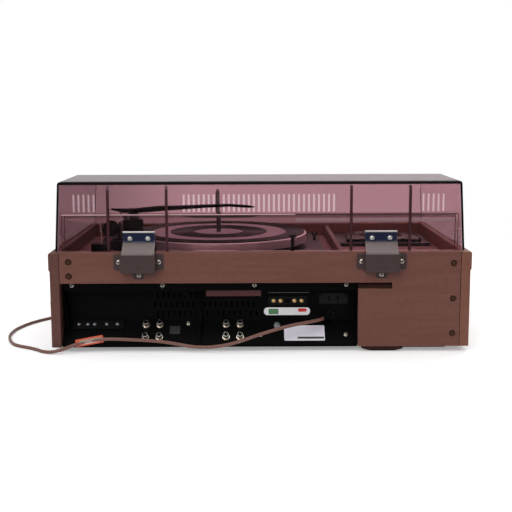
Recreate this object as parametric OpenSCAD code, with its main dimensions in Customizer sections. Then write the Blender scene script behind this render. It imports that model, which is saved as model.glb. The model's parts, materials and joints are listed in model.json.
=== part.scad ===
// Stereo music centre: a wooden case with a record changer and a cassette deck under a hinged,
// smoke-tinted dust cover, an inclined control panel in front and a recessed steel panel behind.
// The case stands on z = 0 with its rear face to +Y, its controls to -Y and the tonearm to +X.

/* [Cabinet] */
// Width over the side panels
cab_w = 600; // [590:1:620]
// Depth from the face of the rear board to the foot of the control panel
cab_d = 400; // [394:1:420]
// Height of the case above its feet
cab_h = 137; // [134:1:145]
// Thickness of a side panel
side_t = 15; // [13:0.5:17]
// Thickness of the rear board
back_t = 12; // [10:0.5:14]
// Thickness of the base board
base_t = 9; // [7:0.5:12]
// Height of the rear rail over the steel panel
rail_h = 44; // [40:1:46]
// Depth of the sunk well inside the rim
well_h = 21; // [19:0.5:24]
// Thickness of the deck board
deck_t = 6; // [5:0.5:8]
// Height of a foot
foot_h = 8; // [6:0.5:12]
// Length of a foot
foot_w = 64; // [50:1:70]
// How far the control panel leans back over its height
lean = 40; // [34:1:44]
// Height of the upright foot of the control panel
plinth_h = 16; // [14:1:20]
// Thickness of the control panel
fascia_t = 3; // [2.5:0.25:3.5]

/* [Dust cover] */
// Height of the cover above the rim
cover_h = 98.4; // [94:0.2:106]
// Height of the cover's front wall
cover_front_h = 72; // [66:1:80]
// Wall of the cover
cover_t = 3; // [2.5:0.25:3.5]
// How far the cover's lower edge stands in from the side panels' faces
cover_in = 7.5; // [6:0.5:10]
// How much each side wall leans in over its height
cover_draft = 6.9; // [4:0.1:9]
// Depth of the flat roof from the rear wall
roof_d = 156; // [130:1:170]
// Width of one air slot in the rear wall
slot_w = 2.8; // [2.4:0.1:3.4]
// Distance from one air slot to the next
slot_pitch = 7.1; // [6.6:0.1:7.3]
// Height of the air slots
slot_h = 28; // [24:1:32]
// How far the cover opens, in degrees
cover_swing = 65; // [50:1:70]

/* [Hinges] */
// Distance of a hinge from the middle
hinge_x = 172; // [166:1:176]
// Width of a hinge housing
hinge_w = 48.6; // [46:0.2:52]
// How far a housing stands out behind the case
hinge_out = 15; // [14:0.5:17]
// Diameter of the hinge pin
pin_d = 4; // [3.5:0.1:4.5]
// Thickness of the strap's plate
strap_t = 2; // [1.6:0.1:2.4]

/* [Rear panel] */
// Depth of the steel panel behind the face of the rear board
recess_d = 34; // [30:0.5:36]
// Height of the panel's sloped part
slope_h = 29; // [27:0.5:31]
// Thickness of the steel sheet
sheet_t = 1.2; // [1:0.1:1.5]
// Right end of the opening in the rear board
cut_right = -140; // [-146:1:-132]
// Diameter of a phono socket's sleeve
rca_d = 8.3; // [8.1:0.1:8.6]

/* [Record changer] */
// How far the platter's centre stands left of the middle of the changer's plate
platter_off = 15.5; // [12:0.5:19]
// Distance of the platter's centre from the face of the rear board
platter_back = 188; // [184:1:192]
// Radius of the platter
platter_r = 140; // [130:1:143]
// Height of the platter's rim
platter_h = 12.5; // [11:0.5:14]
// Diameter of the spindle that fits a record
spindle_d = 7.2; // [7:0.05:7.3]
// Height of the spindle's tip above the rim of the case
spindle_h = 74; // [66:1:80]
// Length of the tonearm from pivot to stylus
arm_len = 195; // [188:1:200]

/* [Controls] */
// Radius of a small knob
knob_r = 11; // [9:0.5:12.5]
// Height of a small knob
knob_h = 14; // [11:0.5:15]
// Radius of the tuning knob
tune_r = 24; // [20:0.5:26]
// Diameter of the control shafts
shaft_d = 6; // [5:0.25:6.5]
// Width of a push button
button_w = 16; // [14:0.5:20]
// Travel of a push button
button_travel = 4; // [3:0.5:5]
// Bore of the headphone socket
phone_d = 6.4; // [6.35:0.05:6.6]

/* [Mains cord] */
// Diameter of the cord
cord_d = 5; // [4.6:0.1:5]
// Height of one loop's centre line over the next one under it
coil_pitch = 5.6; // [5.5:0.1:6]

/* [Fits] */
// Radial clearance of a shaft that turns in its bush
run_gap = 0.05; // [0.03:0.01:0.08]
// Gap around a button, key or lid
free_gap = 0.5; // [0.4:0.05:0.8]

/* [Hidden] */
fine = 64;
medium = 36;
small = 24;

// Planes of the case. The case sits a little forward, so that the hinges behind and the knobs
// in front reach equally far from the middle of the model.
rear_y = cab_d / 2 - 7;
front_y = rear_y - cab_d;
case_z = foot_h;
rim_z = case_z + cab_h;
in_x = cab_w / 2 - side_t;
deck_z = rim_z - well_h;
floor_z = case_z + base_t;
rail_z = rim_z - rail_h;
rail_back = front_y + 61;
well_back = rear_y - back_t;
tilt = atan(lean / (cab_h - plinth_h));
cap_h = 25;
cap_out = 1.5;

// The changer, the bar and the cassette deck share the well's width. Their own sizes are fixed,
// and what is left over is shared out among the gaps and the deck plate's margin.
changer_w = 360;
bar_w = 8;
lid_w = 112;
lid_ear = 8;
tape_gap = 6;
spare_w = 2 * in_x - changer_w - bar_w - lid_w - 2 * lid_ear;
changer_right_gap = spare_w * 25 / 74;
bar_gap = spare_w * 15 / 74;
changer_x = in_x - changer_right_gap - changer_w / 2;
bar_x = changer_x - changer_w / 2 - bar_gap - bar_w / 2;
bay_w = bar_x - bar_w / 2 + in_x;
tape_x = bar_x - bar_w / 2 - bay_w / 2;
tape_w = bay_w - 2 * tape_gap;

// The changer's plate fills the well's depth but for a gap in front and behind.
changer_front_gap = 4.5;
changer_back_gap = 28.5;
changer_d = well_back - changer_back_gap - rail_back - changer_front_gap;
changer_y = rail_back + changer_front_gap + changer_d / 2;

// Places on the control panel are drawn for this half width, and spread out with the panel.
drawn_half = 285;
function spread(x) = x * in_x / drawn_half;

// Colours
vinyl = [0.44, 0.30, 0.26];
black = [0.08, 0.08, 0.09];
steel_black = [0.09, 0.09, 0.10];
nickel = [0.72, 0.70, 0.66];
brass = [0.75, 0.64, 0.42];
smoke = [0.36, 0.25, 0.27, 0.6];
hinge_brown = [0.29, 0.24, 0.23];

// ---- Shared shapes ----------------------------------------------------------------------------

function unit(v) = v / norm(v);
function flat(p) = [p[0], p[1]];

// Points of one corner of an outline: an arc of radius q[2] that touches both edges.
function corner(p, q, s, steps) =
    q[2] == 0 ? [flat(q)] :
    let (to_p = unit(flat(p) - flat(q)), to_s = unit(flat(s) - flat(q)),
         half = acos(to_p * to_s) / 2,
         mid = flat(q) + unit(to_p + to_s) * q[2] / sin(half),
         first = flat(q) + to_p * q[2] / tan(half) - mid,
         last = flat(q) + to_s * q[2] / tan(half) - mid,
         a0 = atan2(first[1], first[0]),
         swing = (atan2(last[1], last[0]) - a0 + 900) % 360 - 180)
    [for (i = [0:steps]) let (a = a0 + swing * i / steps) mid + q[2] * [cos(a), sin(a)]];

// An outline from points [x, y, corner radius].
function rounded(pts, steps = 5) =
    [for (i = [0:len(pts) - 1])
        each corner(pts[(i + len(pts) - 1) % len(pts)], pts[i], pts[(i + 1) % len(pts)], steps)];

// A rectangle with round corners about its middle.
function pad_outline(w, d, r) =
    rounded([[-w / 2, -d / 2, r], [w / 2, -d / 2, r], [w / 2, d / 2, r], [-w / 2, d / 2, r]]);

// Carries an outline drawn as [y, z] from x0 to x1.
module along_x(x0, x1) {
    translate([x0, 0, 0]) rotate([90, 0, 90]) linear_extrude(x1 - x0) children();
}

// Carries an outline drawn as [x, z] from y0 to y1.
module along_y(y0, y1) {
    translate([0, y1, 0]) rotate([90, 0, 0]) linear_extrude(y1 - y0) children();
}

// A box from its lowest to its highest corner.
module block(a, b) {
    translate(a) cube(b - a);
}

// A cylinder along +Y, which starts at the point.
module rod_y(p, r, h, sides = small) {
    translate(p) rotate([-90, 0, 0]) cylinder(r = r, h = h, $fn = sides);
}

// A cylinder along +X, which starts at the point.
module rod_x(p, r, h, sides = small) {
    translate(p) rotate([0, 90, 0]) cylinder(r = r, h = h, $fn = sides);
}

// A screw with a domed head, a cross in it and a shank, pointing down from z = 0.
module dome_screw(head_r, head_h, shank_r, shank_len) {
    difference() {
        rotate_extrude($fn = small)
            polygon(concat([[0, -shank_len], [shank_r, -shank_len], [shank_r, 0], [head_r, 0]],
                           [for (i = [1:4]) [head_r * cos(22.5 * i), head_h * sin(22.5 * i)]]));
        for (turn = [0, 90]) rotate([0, 0, turn])
            translate([-head_r * 0.55, -0.45, head_h * 0.45]) cube([head_r * 1.1, 0.9, head_h]);
    }
}

// ---- Case -------------------------------------------------------------------------------------

// Y of the control panel's face at a height.
function fascia_y(z) = front_y + 3 + max(0, z - case_z - plinth_h) * tan(tilt);

// Outline of a side panel, seen from its side.
module side_outline() {
    polygon(rounded([[front_y, case_z, 2], [rear_y, case_z, 0], [rear_y, rim_z, 2],
                     [front_y + lean, rim_z, 4], [front_y, case_z + plinth_h, 6]]));
}

// A side panel at +X: a flat board with a thicker cap along its upper edge.
module side_panel() {
    out = cab_w / 2;
    intersection() {
        along_x(in_x, out) side_outline();
        along_y(front_y, rear_y)
            polygon(rounded([[in_x, case_z, 0], [out - cap_out, case_z, 1],
                             [out - cap_out, rim_z - cap_h - 2, 0], [out, rim_z - cap_h, 0],
                             [out, rim_z, 3], [in_x, rim_z, 1]], 3));
    }
}

module side_panel_left() { color(vinyl) mirror([1, 0, 0]) side_panel(); }
module side_panel_right() { color(vinyl) side_panel(); }

// Holes for the wood screws of the rear board: [x, height above the case's underside].
board_screws = [[in_x - 13.5, 123.5], [in_x - 13.5, 103],
                [10 - in_x, 120], [10 - in_x, 69], [10 - in_x, 18.5]];
sink_r = 5.2;
sink_h = 3;
screw_r = 1.6;

// The rear board: a rail over the steel panel that widens into a full-height board.
module rear_board() {
    saw_w = 48;
    saw_h = 9;
    color(vinyl) difference() {
        along_y(rear_y - back_t, rear_y)
            polygon([[-in_x, case_z], [cut_right, case_z], [cut_right, rail_z - saw_h],
                     [cut_right - saw_w, rail_z - saw_h], [cut_right - saw_w, rail_z],
                     [in_x, rail_z], [in_x, rim_z], [-in_x, rim_z]]);
        for (s = board_screws) {
            rod_y([s[0], rear_y - sink_h, case_z + s[1]], sink_r, sink_h + 1);
            rod_y([s[0], rear_y - back_t - 1, case_z + s[1]], screw_r, back_t + 2);
        }
        for (side = [-1, 1], s = hinge_screws)
            rod_y([side * hinge_x + s[0], rear_y - back_t - 1, s[1]], screw_r, back_t + 2);
    }
}

// Carries a plan outline from a height.
module plate_at(z, h) {
    translate([0, 0, z]) linear_extrude(h) children();
}

// The base board stops short of the steel panel, whose lip runs under it. Three rows of slots
// let air in.
air_pitch = 25;
air_rows = 15;
air_len = 14;
air_w = 4;
module base_board() {
    front = front_y + 3 + fascia_t;
    color([0.55, 0.45, 0.35]) plate_at(case_z, base_t) difference() {
        polygon([[-in_x, front], [in_x, front], [in_x, rear_y - recess_d - 1],
                 [cut_right, rear_y - recess_d - 1], [cut_right, well_back],
                 [-in_x, well_back]]);
        for (i = [-8:8], row = [0:2])
            translate([i * air_pitch, rear_y - recess_d - 36 - row * air_rows])
                square([air_len, air_w], true);
    }
}

// Battens that hold the deck and the rear board to the side panels.
batten = 19;
module corner_battens() {
    top = deck_z - deck_t;
    front = front_y + 45;
    color([0.66, 0.55, 0.42]) {
        block([in_x - batten, well_back - batten, rail_z + 9], [in_x, well_back, top]);
        block([-in_x, well_back - batten, floor_z], [batten - in_x, well_back, top]);
        for (side = [0, 1]) mirror([side, 0, 0])
            block([in_x - batten, front, floor_z], [in_x, front + batten, top]);
    }
}

// Rubber feet, each held by a sunk screw.
module feet() {
    depth = 20;
    color([0.10, 0.10, 0.10])
        for (x = [-145, 145], y = [front_y + 40, rear_y - recess_d - 16]) translate([x, y, 0])
            difference() {
                linear_extrude(foot_h) polygon(pad_outline(foot_w, depth, 5));
                translate([0, 0, -1]) cylinder(r = 4, h = 4, $fn = small);
            }
}

// Screws of the hinges, as [x from the hinge's middle, height].
hinge_screws = [[-28.5, rim_z - 13.5], [28.5, rim_z - 13.5], [0, rim_z - 32]];

// Wood screws of the rear board and sheet-metal screws of the steel panel.
flange_screws = [in_x - 14.8, in_x - 145.1, in_x - 276.9, cut_right + 16.2];
slope_screws = [[in_x - 180.4, 28], [in_x - 285, 14], [cut_right + 16, 14]];
module case_screws() {
    color(nickel) {
        for (s = board_screws) translate([s[0], rear_y - sink_h, case_z + s[1]])
            rotate([-90, 0, 0]) dome_screw(3.9, 2.2, screw_r, back_t + 4);
        for (side = [-1, 1], s = hinge_screws)
            translate([side * hinge_x + s[0], rear_y + hinge_plate_t, s[1]])
                rotate([-90, 0, 0]) dome_screw(3.6, 1.8, screw_r, back_t);
        for (x = flange_screws) translate([x, flange_y, rail_z - 5])
            rotate([-90, 0, 0]) dome_screw(3.9, 2.2, screw_r, 6);
        for (s = slope_screws) on_slope(s[0], s[1]) dome_screw(3.6, 2, screw_r, 6);
    }
}

// The rail over the control panel, whose rear face is the front wall of the well.
module front_rail() {
    low = deck_z - deck_t;
    gap = fascia_t / cos(tilt);
    color(vinyl) along_x(-in_x, in_x)
        polygon([[fascia_y(low) + gap, low], [rail_back, low], [rail_back, rim_z],
                 [fascia_y(rim_z) + gap, rim_z]]);
}

// The deck: the floor of the well, cut out for the changer and for the cassette deck.
module top_deck() {
    color([0.16, 0.13, 0.13]) plate_at(deck_z - deck_t, deck_t) difference() {
        translate([-in_x, rail_back]) square([2 * in_x, well_back - rail_back]);
        translate([changer_x, changer_y])
            polygon(pad_outline(changer_w - 2 * plate_seat, changer_d - 2 * plate_seat, 12));
        translate([tape_x, tape_y])
            polygon(pad_outline(tape_w - 2 * tub_in + 1, tape_d - 2 * tub_in + 1, 4));
    }
}

// The bar between the changer's well and the tape bay.
module divider_bar() {
    color(vinyl) along_y(rail_back, well_back)
        polygon(rounded([[bar_x - bar_w / 2, deck_z, 0], [bar_x + bar_w / 2, deck_z, 0],
                         [bar_x + bar_w / 2, rim_z - 3, 1.5],
                         [bar_x - bar_w / 2, rim_z - 3, 1.5]], 3));
}

// ---- Steel panel at the back ------------------------------------------------------------------

flange_y = well_back;
panel_y = rear_y - recess_d;
slope_top = case_z + 3 + slope_h;
slope_y = panel_y + slope_h;
panel_top = rail_z - 13;

// Places things on the slope: x, and the height above the case's underside. Z points out of it.
module on_slope(x, h) {
    translate([x, panel_y + slope_top - case_z - h, case_z + h]) rotate([-45, 0, 0]) children();
}

// The bent sheet's section: flange, step, upright face, slope and lip.
function sheet_face() = [
    [flange_y, rail_z + 8], [flange_y, panel_top], [panel_y, panel_top], [panel_y, slope_top],
    [slope_y, case_z + 3], [slope_y, case_z - sheet_t]];
function sheet_back() = [
    [panel_y - 4, case_z - sheet_t], [panel_y - 4, case_z], [slope_y - sheet_t, case_z],
    [slope_y - sheet_t, case_z + 3 - sheet_t / 2], [panel_y - sheet_t, slope_top - sheet_t / 2],
    [panel_y - sheet_t, panel_top + sheet_t], [flange_y - sheet_t, panel_top + sheet_t],
    [flange_y - sheet_t, rail_z + 8]];

panel_left = in_x - 1;
vent_pitch = 8;
vent_w = 2.4;
vent_h = 9;
vent_rows = 14;
vent_x = in_x - 281;
rib_at = in_x - 199;
module rear_panel() {
    color(steel_black) difference() {
        union() {
            along_x(cut_right + 1, panel_left) polygon(concat(sheet_face(), sheet_back()));
            // the slanted cheek at one end and the upright one at the other
            intersection() {
                along_y(panel_y - 1, flange_y)
                    polygon([[in_x - 3, panel_top], [in_x - 3 + sheet_t, panel_top],
                             [in_x - 12 + sheet_t, case_z], [in_x - 12, case_z]]);
                along_x(in_x - 20, in_x) cheek_outline();
            }
            along_x(cut_right + 1, cut_right + 1 + sheet_t) cheek_outline();
            // the rib between the two groups of sockets, with a hollow rear edge
            along_x(rib_at, rib_at + sheet_t + 0.4) difference() {
                cheek_outline();
                translate([rear_y + 4, slope_top + 20]) circle(r = 30, $fn = fine);
            }
        }
        for (row = [0:2], i = [0:18]) {
            x = vent_x + i * vent_pitch + (row % 2) * vent_pitch / 2;
            z = slope_top + 5 + row * vent_rows;
            if (abs(x + vent_w / 2 - rib_at - 1) > vent_w + 1.6)
                block([x, panel_y - 4, z], [x + vent_w, panel_y + 1, z + vent_h]);
        }
        for (s = phono_sockets) on_slope(s[0], s[1])
            translate([0, 0, -4]) cylinder(r = rca_d / 2 - 1, h = 8, $fn = small);
        for (s = slope_screws) on_slope(s[0], s[1])
            translate([0, 0, -7]) cylinder(r = screw_r, h = 8, $fn = small);
        for (x = terminal_x) on_slope(x, 27)
            translate([0, 0, -7]) cylinder(r = screw_r, h = 8, $fn = small);
        for (x = flange_screws) rod_y([x, flange_y - 4, rail_z - 5], screw_r, 6);
        rod_y([cord_x, panel_y - 4, cord_z], bush_r, 8);
        block([outlet_x - 12, panel_y - 4, outlet_z - 5], [outlet_x + 12, panel_y + 1, outlet_z + 5]);
    }
}

// The side wall of the recess, between the upright face, the slope and the flange.
module cheek_outline() {
    polygon([[panel_y - 0.5, panel_top + 0.5], [panel_y - 0.5, slope_top - 0.5],
             [slope_y - 0.8, case_z + 2.4], [slope_y - 0.5, case_z + 8],
             [flange_y - 0.5, slope_top + 6], [flange_y - 0.5, panel_top + 0.5]]);
}

// Phono sockets: [x, height above the case's underside].
phono_sockets = [for (x = [119, 139, 235.5, 255.7], h = [26, 11]) [in_x - x, h]];
module rca_jacks() {
    color(nickel) for (s = phono_sockets) on_slope(s[0], s[1]) difference() {
        rotate_extrude($fn = medium)
            polygon([[0, -6], [rca_d / 2 - 1, -6], [rca_d / 2 - 1, 0], [5.4, 0], [5.4, 1],
                     [rca_d / 2, 1], [rca_d / 2, 8.5], [rca_d / 2 - 0.6, 9], [3.3, 9],
                     [3.3, 3], [0, 3]]);
        translate([0, 0, -4]) cylinder(r = 1.6, h = 8, $fn = small);
    }
}

// A strip of five binding screws for the aerials.
strip_x = in_x - 49;
strip_t = 2;
terminal_x = [for (x = [28, 15, 5, -12.5, -28]) strip_x + x];
module antenna_terminals() {
    color([0.30, 0.20, 0.14]) on_slope(strip_x, 26) difference() {
        linear_extrude(strip_t) polygon(pad_outline(74, 15, 1.5));
        for (x = terminal_x) translate([x - strip_x, -sqrt(2), -1])
            cylinder(r = screw_r + run_gap, h = strip_t + 2, $fn = small);
    }
    color(nickel) for (x = terminal_x)
        on_slope(x, 27) translate([0, 0, strip_t]) dome_screw(3.4, 2, screw_r, strip_t + 6);
}

// A small socket between four brass binding screws.
binding_mid = cut_right + 100;
binding_x = [for (x = [20.4, 10.3, -10, -20.4]) binding_mid + x];
binding_t = 1.6;
module speaker_terminals() {
    z = rail_z - 32.4;
    color([0.05, 0.05, 0.05]) difference() {
        along_y(panel_y, panel_y + binding_t) translate([binding_mid, z])
            polygon(pad_outline(56, 12, 1.5));
        block([binding_mid - 4, panel_y - 1, z - 3.5], [binding_mid + 4, panel_y + 3, z + 3.5]);
        for (x = binding_x) rod_y([x, panel_y - 1, z], screw_r + run_gap, binding_t + 2);
    }
    color(brass) for (x = binding_x) translate([x, panel_y + binding_t, z])
        rotate([-90, 0, 0]) dome_screw(3.2, 1.8, screw_r, 1.5);
}

// The switched mains outlet, held by two screws.
outlet_x = cut_right + 33;
outlet_z = rail_z - 29;
module ac_outlet() {
    color([0.06, 0.05, 0.05]) difference() {
        union() {
            along_y(panel_y, panel_y + 2) translate([outlet_x, outlet_z])
                polygon(pad_outline(42, 16, 2));
            along_y(panel_y - 14, panel_y) translate([outlet_x, outlet_z])
                polygon(pad_outline(24, 10, 2));
        }
        for (x = [-6.35, 6.35], d = [-1, 1])
            block([outlet_x + x - 0.9, panel_y - 10, outlet_z - 3.6],
                  [outlet_x + x + 0.9, panel_y + 3, outlet_z + 3.6]);
    }
    color(brass) for (x = [-17.8, 17.8]) translate([outlet_x + x, panel_y + 2, outlet_z + 5])
        rotate([-90, 0, 0]) dome_screw(2.6, 1.6, 1.2, 2);
}

// ---- Hinges and dust cover --------------------------------------------------------------------

hinge_plate_t = 1.6;
pivot_y = rear_y + 8;
pivot_z = rim_z - 4.5;
knuckle_r = 4.4;
wall_out_y = rear_y - 13;

// A housing screwed to the rear board: an open box with the pin across it.
module hinge_housing() {
    low = rim_z - 28;
    wall = 1.4;
    difference() {
        union() {
            along_x(-hinge_w / 2, hinge_w / 2)
                polygon(rounded([[rear_y, low, 0], [rear_y + hinge_out, low, 2],
                                 [rear_y + hinge_out, rim_z - 1.5, 0], [rear_y, rim_z - 1.5, 0]]));
            along_y(rear_y, rear_y + hinge_plate_t)
                polygon(rounded([[-35.5, rim_z - 25, 3], [-8, rim_z - 25, 0], [-8, rim_z - 38, 3],
                                 [8, rim_z - 38, 3], [8, rim_z - 25, 0], [35.5, rim_z - 25, 3],
                                 [35.5, rim_z - 2, 3], [-35.5, rim_z - 2, 3]]));
        }
        along_x(wall - hinge_w / 2, hinge_w / 2 - wall)
            polygon([[rear_y + hinge_plate_t, low + 1.5], [rear_y + hinge_out - wall, low + 1.5],
                     [rear_y + hinge_out - wall, rim_z], [rear_y + hinge_plate_t, rim_z]]);
        rod_y([0, rear_y + hinge_out - 3, rim_z - 20], 2.4, 6);
        for (s = hinge_screws) rod_y([s[0], rear_y - 1, s[1]], screw_r, 4);
    }
    rod_x([-hinge_w / 2, pivot_y, pivot_z], pin_d / 2, hinge_w);
}

module hinge_housings() {
    color(hinge_brown) for (side = [-1, 1]) translate([side * hinge_x, 0, 0]) hinge_housing();
}

// A strap: a leaf on the cover's wall, a sloping plate and a knuckle round the pin.
strap_w = 45.5;
strap_screw_z = rim_z + 18.6;
strap_screw_x = [-12.7, 12.7];
strap_screw_r = 2;
module hinge_strap() {
    leaf_y = wall_out_y;
    lip_z = rim_z + 26;
    bend_z = rim_z + 14;
    difference() {
        union() {
            along_x(-strap_w / 2, strap_w / 2)
                polygon(rounded([[leaf_y, lip_z + 3, 0], [leaf_y, bend_z - 1, 0],
                                 [pivot_y - 2, pivot_z + 1, 0], [pivot_y + 3.4, pivot_z + 2.4, 0],
                                 [leaf_y + strap_t, bend_z + 0.6, 1], [leaf_y + strap_t, lip_z, 0],
                                 [leaf_y + strap_t + 1.4, lip_z + 1, 0.6],
                                 [leaf_y + strap_t + 1.4, lip_z + 3, 0.6]], 3));
            rod_x([-strap_w / 2, pivot_y, pivot_z], knuckle_r, strap_w, medium);
        }
        rod_x([-strap_w, pivot_y, pivot_z], pin_d / 2 + run_gap, 2 * strap_w, medium);
        for (x = strap_screw_x) rod_y([x, leaf_y - 1, strap_screw_z], strap_screw_r, strap_t + 2);
    }
}

module hinge_straps() {
    clamp_t = 2;
    clamp_y = wall_out_y - cover_t - 1;
    color([0.62, 0.60, 0.60]) for (side = [-1, 1]) translate([side * hinge_x, 0, 0]) {
        hinge_strap();
        for (x = strap_screw_x) translate([x, wall_out_y + strap_t, strap_screw_z])
            rotate([-90, 0, 0]) dome_screw(4.2, 2.6, strap_screw_r, strap_t + cover_t + 1 + clamp_t);
        difference() {
            along_y(clamp_y - clamp_t, clamp_y)
                translate([0, strap_screw_z]) polygon(pad_outline(strap_w, 12, 2));
            for (x = strap_screw_x)
                rod_y([x, clamp_y - clamp_t - 1, strap_screw_z], strap_screw_r, clamp_t + 2);
        }
    }
}

// The cover's rear face lies a step behind its upper part, so that the straps have a flat seat.
cover_half = cab_w / 2 - cover_in;
cover_z = rim_z + 0.4;
cover_top = rim_z + cover_h;
cover_back = rear_y - 14;
cover_front = front_y + 45;
front_top = rim_z + cover_front_h;

// Side view of the cover, drawn in by a distance.
module cover_side(inset) {
    low = inset > 0 ? cover_z - 1 : cover_z;
    drop = inset * 1.15;
    polygon(rounded([[cover_front + inset, low, 0], [cover_back - inset, low, 0],
                     [cover_back - inset, cover_top - inset, 6],
                     [cover_back - roof_d, cover_top - inset, 14],
                     [cover_front + inset, front_top - drop, 7]]));
}

// Rear view of the cover, drawn in by a distance.
module cover_rear(inset) {
    high = cover_top + 1;
    low = inset > 0 ? cover_z - 1 : cover_z;
    polygon([[-cover_half + inset, low], [cover_half - inset, low],
             [cover_half - cover_draft - inset, high], [cover_draft - cover_half + inset, high]]);
}

slot_groups = [[cover_half - 28.5, 5], [108, 31], [60.5 - cover_half, 5]];
slot_z = rim_z + 53;
rib_x = [hinge_x + 42, hinge_x - 41, 41 - hinge_x, -hinge_x - 42];
rib_t = 3;
rib_out = 3.4;
module dust_cover() {
    color(smoke) difference() {
        union() {
            intersection() {
                along_x(-cab_w / 2, cab_w / 2) cover_side(0);
                along_y(cover_front - 1, cover_back + 1) cover_rear(0);
            }
            // the thicker lower part of the rear wall, and the ribs over it
            block([14.5 - cover_half, cover_back - 1, cover_z],
                  [cover_half - 10.5, wall_out_y, slot_z - 1.5]);
            for (x = rib_x) along_x(x - rib_t / 2, x + rib_t / 2)
                polygon([[cover_back - 1, cover_z], [cover_back + rib_out, cover_z],
                         [cover_back + rib_out, rim_z + 60], [cover_back, rim_z + 91],
                         [cover_back - 1, rim_z + 91]]);
        }
        intersection() {
            along_x(-cab_w / 2, cab_w / 2) cover_side(cover_t);
            along_y(cover_front, cover_back) cover_rear(cover_t);
        }
        for (g = slot_groups, i = [0:g[1] - 1]) {
            x = g[0] - i * slot_pitch;
            block([x - slot_w / 2, cover_back - cover_t - 2, slot_z],
                  [x + slot_w / 2, cover_back + 2, slot_z + slot_h]);
        }
        for (side = [-1, 1], x = strap_screw_x)
            rod_y([side * hinge_x + x, cover_back - cover_t - 2, strap_screw_z], strap_screw_r,
                  cover_t + 5);
    }
}

// ---- Mains cord -------------------------------------------------------------------------------

cord_x = -102;
cord_z = 47;
bush_r = 5;

// The free stretch: [x, distance behind the rear board's face, height].
cord_route = [
    [-90.5, -17, 45], [-78, -9, 43.6], [-61, -1, 42], [-42, 4, 39.4], [-21, 7, 34.4],
    [3, 8, 27.2], [25, 8, 19.4], [46, 7, 13.2], [66, 5, 9.6], [82, 3.5, 8.6], [99, 2, 9.4],
    [118, 0, 12.2], [140, -1, 15.6], [162, -1, 17.6], [184, -1, 18.8], [205, -1, 19.8],
    [225, -1, 19.6], [244, 0, 17.5], [262, 3, 13.6], [273, 6, 10.4], [285, 8.5, 6.4],
    [298, 8, 3.6], [311, 1.5, 2.6], [323, -10, 2.6], [336, -21, 2.6], [350, -30, 2.6],
    [363, -42, 2.6], [374, -64, 2.6], [383, -97, 2.6], [384, -133, 2.6], [379, -158, 2.6],
    [371, -182, 2.6], [359, -204, 2.6], [345, -223, 2.6], [331, -245, 2.6], [319, -270, 2.6],
    [311, -300, 2.6], [308, -330, 2.6], [307.8, -352, 2.5], [307.8, -365, 2.5]];
coil_x = 341;
coil_back = -373;
coil_r = 33.2;
coil_start = 180;
turns_in = 2.5;
turns_out = 2.583;
coil_step = 5.6;

function route_point(i) =
    let (p = cord_route[max(0, min(len(cord_route) - 1, i))]) [p[0], rear_y + p[1], p[2]];

// A smooth curve through the route's points (Catmull-Rom).
function between(i, t) =
    let (p0 = route_point(i - 1), p1 = route_point(i), p2 = route_point(i + 1),
         p3 = route_point(i + 2))
    0.5 * (2 * p1 + (p2 - p0) * t + (2 * p0 - 5 * p1 + 4 * p2 - p3) * t * t
           + (3 * p1 - p0 - 3 * p2 + p3) * t * t * t);

cord_path = concat(
    [for (i = [0:len(cord_route) - 2], t = [0, 0.5]) between(i, t)],
    [route_point(len(cord_route) - 1)]);

// One point of the coil after so many turns: it spirals in on the floor, climbs a layer in
// the half turn where it reverses, and spirals out again on top.
function coil_radius(n) =
    n < turns_in ? coil_r - coil_step * n :
    n < turns_in + 0.5 ? coil_r - coil_step * turns_in - 1.6 * sin(360 * (n - turns_in)) :
    coil_r - coil_step * turns_in + coil_step * (n - turns_in - 0.5);
function coil_height(n) =
    cord_d / 2 + coil_pitch * (n < turns_in ? 0 : n < turns_in + 0.5 ?
        (1 - cos(360 * (n - turns_in))) / 2 : 1);
function coil_point(n) =
    let (a = coil_start + 360 * n)
    [coil_x + coil_radius(n) * cos(a), rear_y + coil_back + coil_radius(n) * sin(a),
     coil_height(n)];
coil_turns = turns_in + 0.5 + turns_out;
coil_rings = 24;
end_angle = coil_start + 360 * coil_turns;
end_dir = [-sin(end_angle), cos(end_angle), 0];
end_len = 7;
coil_end = coil_point(coil_turns) + end_len * end_dir;
coil_path = concat(
    [route_point(len(cord_route) - 1)],
    [for (i = [0:floor(coil_turns * coil_rings)]) coil_point(i / coil_rings)],
    [coil_point(coil_turns), coil_end]);

// A tube of flat-sided rings along a path that never stands upright.
module tube(path, r, sides) {
    last = len(path) - 1;
    along = [for (i = [0:last]) unit(path[min(last, i + 1)] - path[max(0, i - 1)])];
    across = [for (d = along) unit(cross(d, [0, 0, 1]))];
    rings = [for (i = [0:last], k = [0:sides - 1])
        let (a = 360 * (k + 0.5) / sides, up = cross(across[i], along[i]))
        path[i] + r * (cos(a) * across[i] + sin(a) * up)];
    walls = [for (i = [0:last - 1], k = [0:sides - 1])
        let (a = i * sides + k, b = i * sides + (k + 1) % sides)
        each [[a, a + sides, b], [b, a + sides, b + sides]]];
    start_cap = [for (k = [1:sides - 2]) [0, k, k + 1]];
    end_cap = [for (k = [1:sides - 2]) [last * sides, last * sides + k + 1, last * sides + k]];
    polyhedron(rings, concat(walls, start_cap, end_cap), convexity = 10);
}

// Turns +Z of its children to a direction at a point.
module aim(p, d) {
    translate(p) rotate([0, acos(d[2] / norm(d)), atan2(d[1], d[0])]) children();
}

cord_exit = [cord_x, panel_y, cord_z];
cord_dir = unit(route_point(0) - cord_exit);
module cord_bushing() {
    color([0.07, 0.07, 0.07]) {
        rod_y([cord_x, panel_y - 4, cord_z], bush_r, 5);
        intersection() {
            aim(cord_exit - 2 * cord_dir, cord_dir)
                cylinder(r1 = bush_r, r2 = cord_d / 2 + 0.7, h = norm(route_point(0) - cord_exit) + 2,
                         $fn = small);
            translate([cord_x - 50, panel_y, 0]) cube(100);
        }
    }
}

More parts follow.
